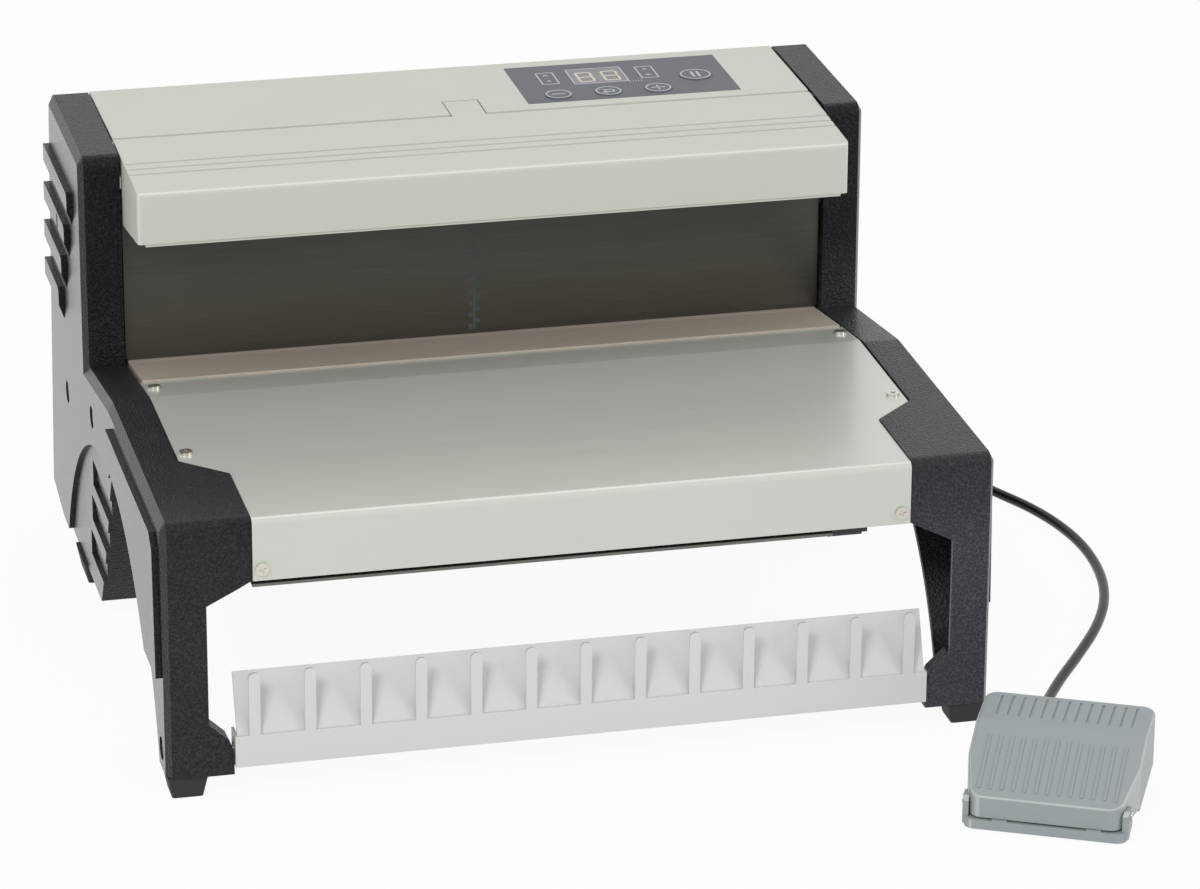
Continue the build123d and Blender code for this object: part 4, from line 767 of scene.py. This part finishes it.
@dataclass
class PedalCord:
    """The black cord, from the gland at the back, through its coil, to the foot pedal."""

    diameter: float = 0.005
    length: float = 1.83
    sides_detail: int = 5
    along_detail: int = 6
    behind: tuple[Triple, ...] = (
        (-40.0, 123.7, 116.0), (-40.0, 148.0, 116.0), (-38.0, 168.5, 105.0), (-33.0, 180.5, 80.0),
        (-26.0, 186.5, 51.0), (-14.0, 191.5, 25.0), (4.0, 198.0, 9.5), (30.0, 203.0, 3.7),
    )
    coil_x: float = 60.0
    coil_front: float = 203.0
    coil_radius: float = 34.5
    coil_pitch: float = 5.6
    coil_turns: int = 3
    coil_low: float = 3.7
    coil_high: float = 9.2
    coil_steps: int = 12
    step_up: float = 0.5
    off_coil: tuple[Triple, ...] = ((90.0, 203.0, 9.2), (120.0, 201.0, 4.2))
    floor: float = 2.6
    beside: tuple[Span, ...] = (
        (154.0, 195.0), (188.0, 181.0), (218.0, 159.0), (240.0, 129.0), (253.5, 98.0),
        (263.0, 66.0), (274.6, 38.0), (286.9, 12.8), (294.6, -14.3), (297.8, -44.1),
        (295.0, -77.5), (286.9, -108.2), (272.9, -138.0), (253.6, -168.0), (236.0, -193.5),
    )
    pedal_at: Span = (195.0, -317.0)
    pedal_turn: float = math.radians(-27.0)
    into_pedal: tuple[Triple, ...] = (
        (-21.3, 103.6, 2.6), (-21.4, 86.6, 4.0), (-21.5, 69.6, 6.5), (-21.5, 51.6, 6.5),
    )

    def pedal_place(self, x: float, y: float, z: float) -> Vector:
        """Return a point given in the pedal's own directions."""
        cosine, sine = math.cos(self.pedal_turn), math.sin(self.pedal_turn)
        across, along = self.pedal_at
        return place(across + x * cosine - y * sine, along + x * sine + y * cosine, z)

    def coil(self) -> list[Vector]:
        """Return the coil: three turns in, a step up a layer, and three turns out.

        A spline of third order runs inside its points, so they stand out from the coil
        by the swell that brings the cord's own middle line back to the radius.
        """
        points = []
        swell = 4.0 / (3.0 + math.cos(2 * math.pi / self.coil_steps))
        middle_y = self.coil_front + self.coil_radius
        for step in range(2 * self.coil_turns * self.coil_steps + 1):
            turns = step / self.coil_steps
            angle = 2 * math.pi * turns - math.pi / 2
            inward = min(turns, 2 * self.coil_turns - turns)
            radius = (self.coil_radius - self.coil_pitch * inward) * swell
            climb = (turns - self.coil_turns + self.step_up / 2) / self.step_up
            climb = min(1.0, max(0.0, climb))
            layer = 0.5 - 0.5 * math.cos(math.pi * climb)
            height = self.coil_low + (self.coil_high - self.coil_low) * layer
            x = self.coil_x + radius * math.cos(angle)
            points.append(place(x, middle_y + radius * math.sin(angle), height))
        return points

    def route(self) -> list[Vector]:
        """Return every point of the cord, from the machine's gland to the pedal's."""
        points = [place(*point) for point in self.behind] + self.coil()
        points += [place(*point) for point in self.off_coil]
        points += [place(x, y, self.floor) for x, y in self.beside]
        return points + [self.pedal_place(*point) for point in self.into_pedal]

    def build(self, finishes: Finishes) -> Piece:
        """Args:
            finishes: Where the jacket's material comes from.

        Returns:
            The cord, as a curve of one open spline.
        """
        points = self.route()
        curve = bpy.data.curves.new("pedal_cord", "CURVE")
        curve.dimensions = "3D"
        curve.bevel_depth = self.diameter / 2
        curve.bevel_resolution = self.sides_detail
        curve.resolution_u = self.along_detail
        curve.use_fill_caps = True
        spline = curve.splines.new("NURBS")
        spline.points.add(len(points) - 1)
        for point, target in zip(points, spline.points):
            target.co = (*point, 1.0)
        spline.order_u = 3
        spline.use_endpoint_u = True
        cord = bpy.data.objects.new("pedal_cord", curve)
        bpy.context.scene.collection.objects.link(cord)
        finishes.dress(cord, Finish.JACKET)
        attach(cord, "machine_frame")
        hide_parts("cord_machine_side", "cord_coil", "cord_pedal_side")
        return cord


# The treadle's spring


@dataclass
class ReturnSpring:
    """The coil spring that lifts the pedal's treadle, and shortens as the treadle goes down."""

    wire_radius: float = 0.0006
    turns: int = 7
    wire_sides: int = 10
    turn_steps: int = 28
    keep: float = 0.74

    def build(self, finishes: Finishes) -> Piece:
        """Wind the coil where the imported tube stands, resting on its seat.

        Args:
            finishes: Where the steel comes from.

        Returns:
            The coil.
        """
        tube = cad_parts["pedal_spring"]
        points = [tube.matrix_world @ vertex.co for vertex in tube.data.vertices]
        low = Vector([min(point[axis] for point in points) for axis in AXES])
        high = Vector([max(point[axis] for point in points) for axis in AXES])
        middle = (low + high) / 2
        radius = (high.x - low.x) / 2 - self.wire_radius
        height = high.z - low.z - 2 * self.wire_radius
        Bench.clear()
        bpy.ops.mesh.primitive_circle_add(
            vertices=self.wire_sides,
            radius=self.wire_radius,
            location=(radius, 0.0, 0.0),
            rotation=(math.pi / 2, 0.0, 0.0),
        )
        piece = Bench.settle(bpy.context.object)
        bpy.ops.object.modifier_add(type="SCREW")
        screw = piece.modifiers[-1]
        screw.iterations = self.turns
        screw.screw_offset = height / self.turns
        screw.steps = self.turn_steps
        screw.render_steps = self.turn_steps
        bpy.ops.object.modifier_apply(modifier=screw.name)
        bpy.ops.object.mode_set(mode="EDIT")
        bpy.ops.mesh.select_all(action="SELECT")
        bpy.ops.mesh.fill_holes(sides=0)
        bpy.ops.mesh.normals_make_consistent(inside=False)
        bpy.ops.object.mode_set(mode="OBJECT")
        piece.location = (middle.x, middle.y, low.z + self.wire_radius)
        Bench.settle(piece)
        bpy.ops.object.shade_smooth_by_angle()
        coil = Bench.name("pedal_return_coil")
        finishes.dress(coil, Finish.MACHINED)
        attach(coil, "machine_frame")
        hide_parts("pedal_spring")
        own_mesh(coil)
        return coil


# Control panel


class Symbol(Enum):
    """The printed sign on each key."""

    MINUS = "minus"
    RETURN = "return"
    PLUS = "plus"
    PAUSE = "pause"


@dataclass(frozen=True)
class Stroke:
    """One printed bar, in metres, placed from the middle of its sign."""

    width: float
    length: float
    across: float = 0.0
    along: float = 0.0
    turn: float = 0.0


@dataclass
class ControlPanel:
    """Printed marks on the film and the keys beside the display."""

    film_top: float = 226.7
    key_top: float = 227.1
    ink: float = 0.00008
    line: float = 0.0007
    keys: tuple[tuple[Symbol, Triple], ...] = (
        (Symbol.MINUS, (50.3, 46.6, 6.3)),
        (Symbol.RETURN, (75.2, 46.6, 6.3)),
        (Symbol.PLUS, (100.1, 46.6, 6.3)),
        (Symbol.PAUSE, (122.9, 63.0, 7.5)),
    )
    sign_length: float = 0.0068
    pause_length: float = 0.0080
    pause_gap: float = 0.0014
    arrow_length: float = 0.0052
    arrow_rise: float = 0.0032
    barb_length: float = 0.0026
    barb_turn: float = math.radians(38.0)
    pages: tuple[Triple, ...] = ((50.6, 72.3, 1.0), (100.5, 72.3, -1.0))
    page_width: float = 0.0082
    page_length: float = 0.0176
    wedges: tuple[Span, ...] = ((0.0042, 1.0), (-0.0042, 0.8))
    display_at: Span = (75.4, 72.0)
    display_width: float = 0.0270
    display_length: float = 0.0226
    ruler_at: Span = (89.4, 58.9)
    tick_heights: tuple[float, ...] = (0.0022, 0.0014, 0.0022, 0.0014, 0.0022)
    tick_width: float = 0.0004
    tick_pitch: float = 0.0014
    digits_at: tuple[Span, ...] = ((69.1, 70.6), (81.9, 70.6))
    digit_half_width: float = 0.0036
    digit_half_length: float = 0.0034
    digit_line: float = 0.0013

    def print_at(self, x: float, y: float, top: float, strokes: Sequence[Stroke]) -> list[Piece]:
        """Return the printed bars of a sign.

        Args:
            x: Millimetres to the right of the machine's centre line.
            y: Millimetres behind the front of the column.
            top: The height that the ink lies on, in millimetres.
            strokes: The bars, placed from that point.

        Returns:
            The settled bars.
        """
        middle = place(x, y, top) + Vector((0.0, 0.0, self.ink / 2))
        return [
            Bench.bar(
                middle + Vector((stroke.across, stroke.along, 0.0)),
                (stroke.width, stroke.length, self.ink),
                stroke.turn,
            )
            for stroke in strokes
        ]

    def sign(self, symbol: Symbol) -> list[Stroke]:
        """Return the strokes of a key's sign."""
        bold, heavy = self.line * 1.2, self.line * 1.7
        if symbol is Symbol.MINUS:
            return [Stroke(self.sign_length, bold)]
        if symbol is Symbol.PLUS:
            return [Stroke(self.sign_length, bold), Stroke(bold, self.sign_length)]
        if symbol is Symbol.PAUSE:
            gaps = (-self.pause_gap, self.pause_gap)
            return [Stroke(heavy, self.pause_length, across=gap) for gap in gaps]
        return self.return_arrow(bold)

    def return_arrow(self, bold: float) -> list[Stroke]:
        """Return a hooked arrow that points back to the left, in lines of one width."""
        return [
            Stroke(self.arrow_length, bold, along=0.0014),
            Stroke(self.arrow_length, bold, across=0.0002, along=-0.0018),
            Stroke(bold, self.arrow_rise, across=0.0026, along=-0.0002),
            Stroke(self.barb_length, bold, -0.0020, -0.0026, -self.barb_turn),
            Stroke(self.barb_length, bold, -0.0020, -0.0010, self.barb_turn),
        ]

    def key_print(self, finishes: Finishes) -> list[Piece]:
        """Build the ring and sign on each key, riding on its key."""
        made = []
        for symbol, (x, y, radius) in self.keys:
            base = place(x, y, self.key_top)
            parts = [Bench.ring(base, radius * MILLI, self.line, self.ink)]
            parts += self.print_at(x, y, self.key_top, self.sign(symbol))
            piece = Bench.join(parts, f"print_{symbol.value}")
            finishes.dress(piece, Finish.MARK)
            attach(piece, f"key_{symbol.value}")
            made.append(piece)
        return made

    def outline(self, width: float, length: float, flat: float) -> list[Stroke]:
        """Return the four sides of a printed rectangle.

        Args:
            width: How far apart the upright sides are.
            length: How far apart the flat sides are, and how long the upright sides are.
            flat: How long the flat sides are.

        Returns:
            The flat sides, then the upright ones.
        """
        flats = [Stroke(flat, self.line, along=end * length / 2) for end in (1, -1)]
        uprights = [Stroke(self.line, length, across=end * width / 2) for end in (1, -1)]
        return flats + uprights

    def page_sign(self, flip: float) -> list[Stroke]:
        """Return a page outline with two small wedges, the larger one on the flip's side."""
        strokes = self.outline(self.page_width, self.page_length, self.page_width)
        for shift, size in self.wedges:
            strokes.append(Stroke(0.0030 * size, self.line, along=shift * flip))
            strokes.append(Stroke(0.0016 * size, self.line, along=shift * flip + 0.0010))
        return strokes

    def digit_bars(self) -> list[Stroke]:
        """Return the seven bars of one unlit digit, seen through the pane."""
        wide, long, line = self.digit_half_width, self.digit_half_length, self.digit_line
        flats = [Stroke(wide * 2, line, along=step * long * 2) for step in (-1, 0, 1)]
        uprights = [
            Stroke(line, long * 2 - line, across=side * wide, along=end * long)
            for side in (-1, 1)
            for end in (-1, 1)
        ]
        return flats + uprights

    def film_print(self, finishes: Finishes) -> Piece:
        """Build the page signs, the display's border and the ruler's ticks."""
        parts = []
        for x, y, flip in self.pages:
            parts += self.print_at(x, y, self.film_top, self.page_sign(flip))
        flat = self.display_width + self.line
        border = self.outline(self.display_width, self.display_length, flat)
        parts += self.print_at(*self.display_at, self.film_top, border)
        ticks = [
            Stroke(self.tick_width, tall, across=tick * self.tick_pitch, along=tall / 2)
            for tick, tall in enumerate(self.tick_heights)
        ]
        parts += self.print_at(*self.ruler_at, self.film_top, ticks)
        piece = Bench.join(parts, "panel_print")
        finishes.dress(piece, Finish.MARK)
        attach(piece, "machine_frame")
        return piece

    def display_print(self, finishes: Finishes) -> Piece:
        """Build the two digits of the display."""
        parts = []
        for x, y in self.digits_at:
            parts += self.print_at(x, y, self.film_top, self.digit_bars())
        piece = Bench.join(parts, "display_print")
        finishes.dress(piece, Finish.DIGIT)
        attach(piece, "machine_frame")
        return piece

    def build(self, finishes: Finishes) -> list[Piece]:
        """Build everything printed on the control panel."""
        return [self.film_print(finishes), self.display_print(finishes), *self.key_print(finishes)]


# Press plate mark


@dataclass
class CentreMark:
    """The teal line, with squares on alternate sides, down the middle of the press plate."""

    x: float = -1.0
    plate_face: float = 4.5
    low: float = 125.0
    high: float = 191.0
    row_pitch: float = 3.0
    line_width: float = 1.4
    square_width: float = 1.8
    square_height: float = 2.6
    offset: float = 1.9
    hole_z: float = 185.0
    hole_gap: float = 4.0
    ink: float = 0.00006

    def patch(self, shift: float, z: float, wide: float, tall: float) -> Piece:
        """Return one upright patch of ink on the plate.

        Args:
            shift: Millimetres to the right of the mark's middle.
            z: Height of its middle.
            wide: Its width.
            tall: Its height.

        Returns:
            The settled patch.
        """
        centre = place(self.x + shift, self.plate_face, z) - Vector((0.0, self.ink / 2, 0.0))
        return Bench.block(centre, (wide * MILLI, self.ink, tall * MILLI))

    def build(self, finishes: Finishes) -> Piece:
        """Build the mark, riding on the press."""
        line_high = self.hole_z - self.hole_gap
        line_middle = (self.low + line_high) / 2
        parts = [self.patch(0.0, line_middle, self.line_width, line_high - self.low)]
        for row in range(int((self.high - self.low) / self.row_pitch)):
            z = self.low + (row + 0.5) * self.row_pitch
            if abs(z - self.hole_z) < self.hole_gap:
                continue
            side = self.offset if row % 2 else -self.offset
            parts.append(self.patch(side, z, self.square_width, self.square_height))
        piece = Bench.join(parts, "press_centre_mark")
        finishes.dress(piece, Finish.TEAL)
        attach(piece, "press")
        return piece


# Dressing of the solids


@dataclass
class MachineBody:
    """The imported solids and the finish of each."""

    finish_of: tuple[tuple[Finish, tuple[str, ...]], ...] = (
        (Finish.CASING, ("casing_left", "casing_right")),
        (Finish.COVER, ("front_hood", "rear_top_cover")),
        (Finish.SHEET, ("table_cover", "back_cover")),
        (Finish.RACK, ("wire_rack",)),
        (Finish.PLATE, ("press_plate",)),
        (Finish.STRIP, ("anvil_strip",)),
        (Finish.MACHINED, (
            "cross_beam", "press_bar", "rack_gears", "guide_blocks", "guide_rods",
            "cross_shaft", "pinions", "driven_gear", "motor_pinion", "hinge_pins",
            "pedal_pin", "pedal_spring",
        )),
        (Finish.ZINC, ("frame_left", "frame_right", "tie_bars", "deck_rails", "motor_bracket")),
        (Finish.PAN, ("base_pan",)),
        (Finish.NICKEL, ("table_screws", "back_screws", "rack_screws", "casing_screws")),
        (Finish.BRONZE, ("shaft_bearings",)),
        (Finish.ENAMEL, ("motor",)),
        (Finish.PANEL, ("control_overlay", "key_minus", "key_return", "key_plus", "key_pause")),
        (Finish.PANE, ("display_window",)),
        (Finish.CELL, ("display_digits",)),
        (Finish.BOARD, ("control_board",)),
        (Finish.BLACK, (
            "pan_block", "mains_inlet", "switch_frame", "power_rocker", "limit_switches",
            "pedal_switch", "power_supply",
        )),
        (Finish.RUBBER, ("feet", "pedal_feet", "cord_gland", "pedal_gland", "coil_tie")),
        (Finish.PEDAL, ("pedal_base", "pedal_treadle")),
    )

    def dress(self, finishes: Finishes) -> int:
        """Dress every solid and return how many were dressed."""
        count = 0
        for finish, names in self.finish_of:
            for name in names:
                finishes.dress(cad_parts[name], finish)
                count += 1
        return count


# Studio


@dataclass(frozen=True)
class SoftLamp:
    """A square soft lamp that faces the machine: its place in metres and power in watts."""

    name: str
    at: Triple
    size: float
    power: float
    target: Triple = (0.0, 0.0, 0.1)

    def hang(self) -> None:
        """Hang the lamp."""
        data = bpy.data.lights.new(self.name, "AREA")
        data.shape = "SQUARE"
        data.size = self.size
        data.energy = self.power
        lamp = bpy.data.objects.new(self.name, data)
        lamp.location = self.at
        aim = Vector(self.target) - Vector(self.at)
        lamp.rotation_euler = aim.to_track_quat("-Z", "Y").to_euler()
        bpy.context.scene.collection.objects.link(lamp)


@dataclass
class Studio:
    """Pale floor, soft lights and the camera at the photograph's angle."""

    lens_pixels: float = 5521.5
    width: float = 1200.0
    sensor: float = 36.0
    azimuth: float = 14.174
    elevation: float = -21.828
    roll: float = 0.550
    spot: Triple = (-526.28, -2436.36, 1062.58)
    shift: Span = (-56.2, 5.3)
    clip: Span = (0.05, 60.0)
    floor_size: float = 24.0
    floor_colour: Triple = (0.93, 0.93, 0.93)
    floor_shade: Triple = (0.90, 0.90, 0.90)
    floor_roughness: float = 0.9
    floor_glow: float = 0.94
    room_light: float = 0.55
    lamps: tuple[SoftLamp, ...] = (
        SoftLamp("key_softbox", (-1.5, -1.9, 2.2), 0.9, 32.0),
        SoftLamp("fill_softbox", (2.2, -1.6, 1.4), 1.2, 17.0),
        SoftLamp("top_softbox", (0.2, 0.9, 2.6), 1.8, 9.0),
    )

    def camera(self) -> Piece:
        """Place the camera and make it the scene's."""
        azimuth, elevation, roll = map(math.radians, (self.azimuth, self.elevation, self.roll))
        level = math.cos(elevation)
        forward = Vector(
            (math.sin(azimuth) * level, math.cos(azimuth) * level, math.sin(elevation))
        )
        right = Vector((math.cos(azimuth), -math.sin(azimuth), 0.0))
        up = right.cross(forward)
        turned_right = math.cos(roll) * right + math.sin(roll) * up
        turned_up = math.cos(roll) * up - math.sin(roll) * right
        data = bpy.data.cameras.new("photo_camera")
        data.sensor_width = self.sensor
        data.lens = self.lens_pixels / self.width * data.sensor_width
        data.shift_x, data.shift_y = (pixels / self.width for pixels in self.shift)
        data.clip_start, data.clip_end = self.clip
        camera = bpy.data.objects.new("photo_camera", data)
        turn = Matrix((turned_right, turned_up, -forward)).transposed()
        camera.matrix_world = Matrix.Translation(place(*self.spot)) @ turn.to_4x4()
        bpy.context.scene.collection.objects.link(camera)
        bpy.context.scene.camera = camera
        return camera

    def floor(self) -> Piece:
        """Lay the pale floor, white for the rays that carry a picture."""
        Bench.clear()
        bpy.ops.mesh.primitive_plane_add(size=self.floor_size, location=(0.0, 0.0, 0.0))
        floor = Bench.name("studio_floor")
        paint = Paint.named("studio_floor")
        colour = paint.mix(paint.noise(0.8, 2.0) * 0.3, self.floor_colour, self.floor_shade)
        lit = paint.shader(
            "ShaderNodeBsdfPrincipled", Base_Color=colour, Roughness=self.floor_roughness
        )
        white = paint.shader("ShaderNodeEmission", Color=WHITE, Strength=1.0)
        seen = paint.blend(paint.seen_rays() * self.floor_glow, lit, white)
        paint.node("ShaderNodeOutputMaterial", None, {"Surface": seen})
        floor.data.materials.append(paint.owner)
        return floor

    def world(self) -> None:
        """Fill the room with an even pale light, white where it is seen or mirrored."""
        world = bpy.data.worlds.new("studio_world")
        paint = Paint(world)
        room = paint.shader("ShaderNodeBackground", Color=WHITE, Strength=self.room_light)
        white = paint.shader("ShaderNodeBackground", Color=WHITE, Strength=1.0)
        seen = paint.blend(paint.seen_rays(), room, white)
        paint.node("ShaderNodeOutputWorld", None, {"Surface": seen})
        bpy.context.scene.world = world

    def build(self) -> None:
        """Set up the whole studio."""
        bpy.context.scene.view_settings.view_transform = "Standard"
        self.camera()
        self.floor()
        self.world()
        for lamp in self.lamps:
            lamp.hang()


def main() -> None:
    """Build the scene from the frame outwards and report each piece."""
    logging.basicConfig(level=logging.INFO, format="%(message)s")
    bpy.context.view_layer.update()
    finishes = Finishes()
    Studio().build()
    LOG.info("studio ready")
    cord = PedalCord().build(finishes)
    LOG.info("cord: %s", cord.name)
    LOG.info("dressed %d solids", MachineBody().dress(finishes))
    LOG.info("spring: %s", ReturnSpring().build(finishes).name)
    for piece in ControlPanel().build(finishes):
        LOG.info("panel: %s", piece.name)
    LOG.info("mark: %s", CentreMark().build(finishes).name)


if __name__ == "__main__":
    main()
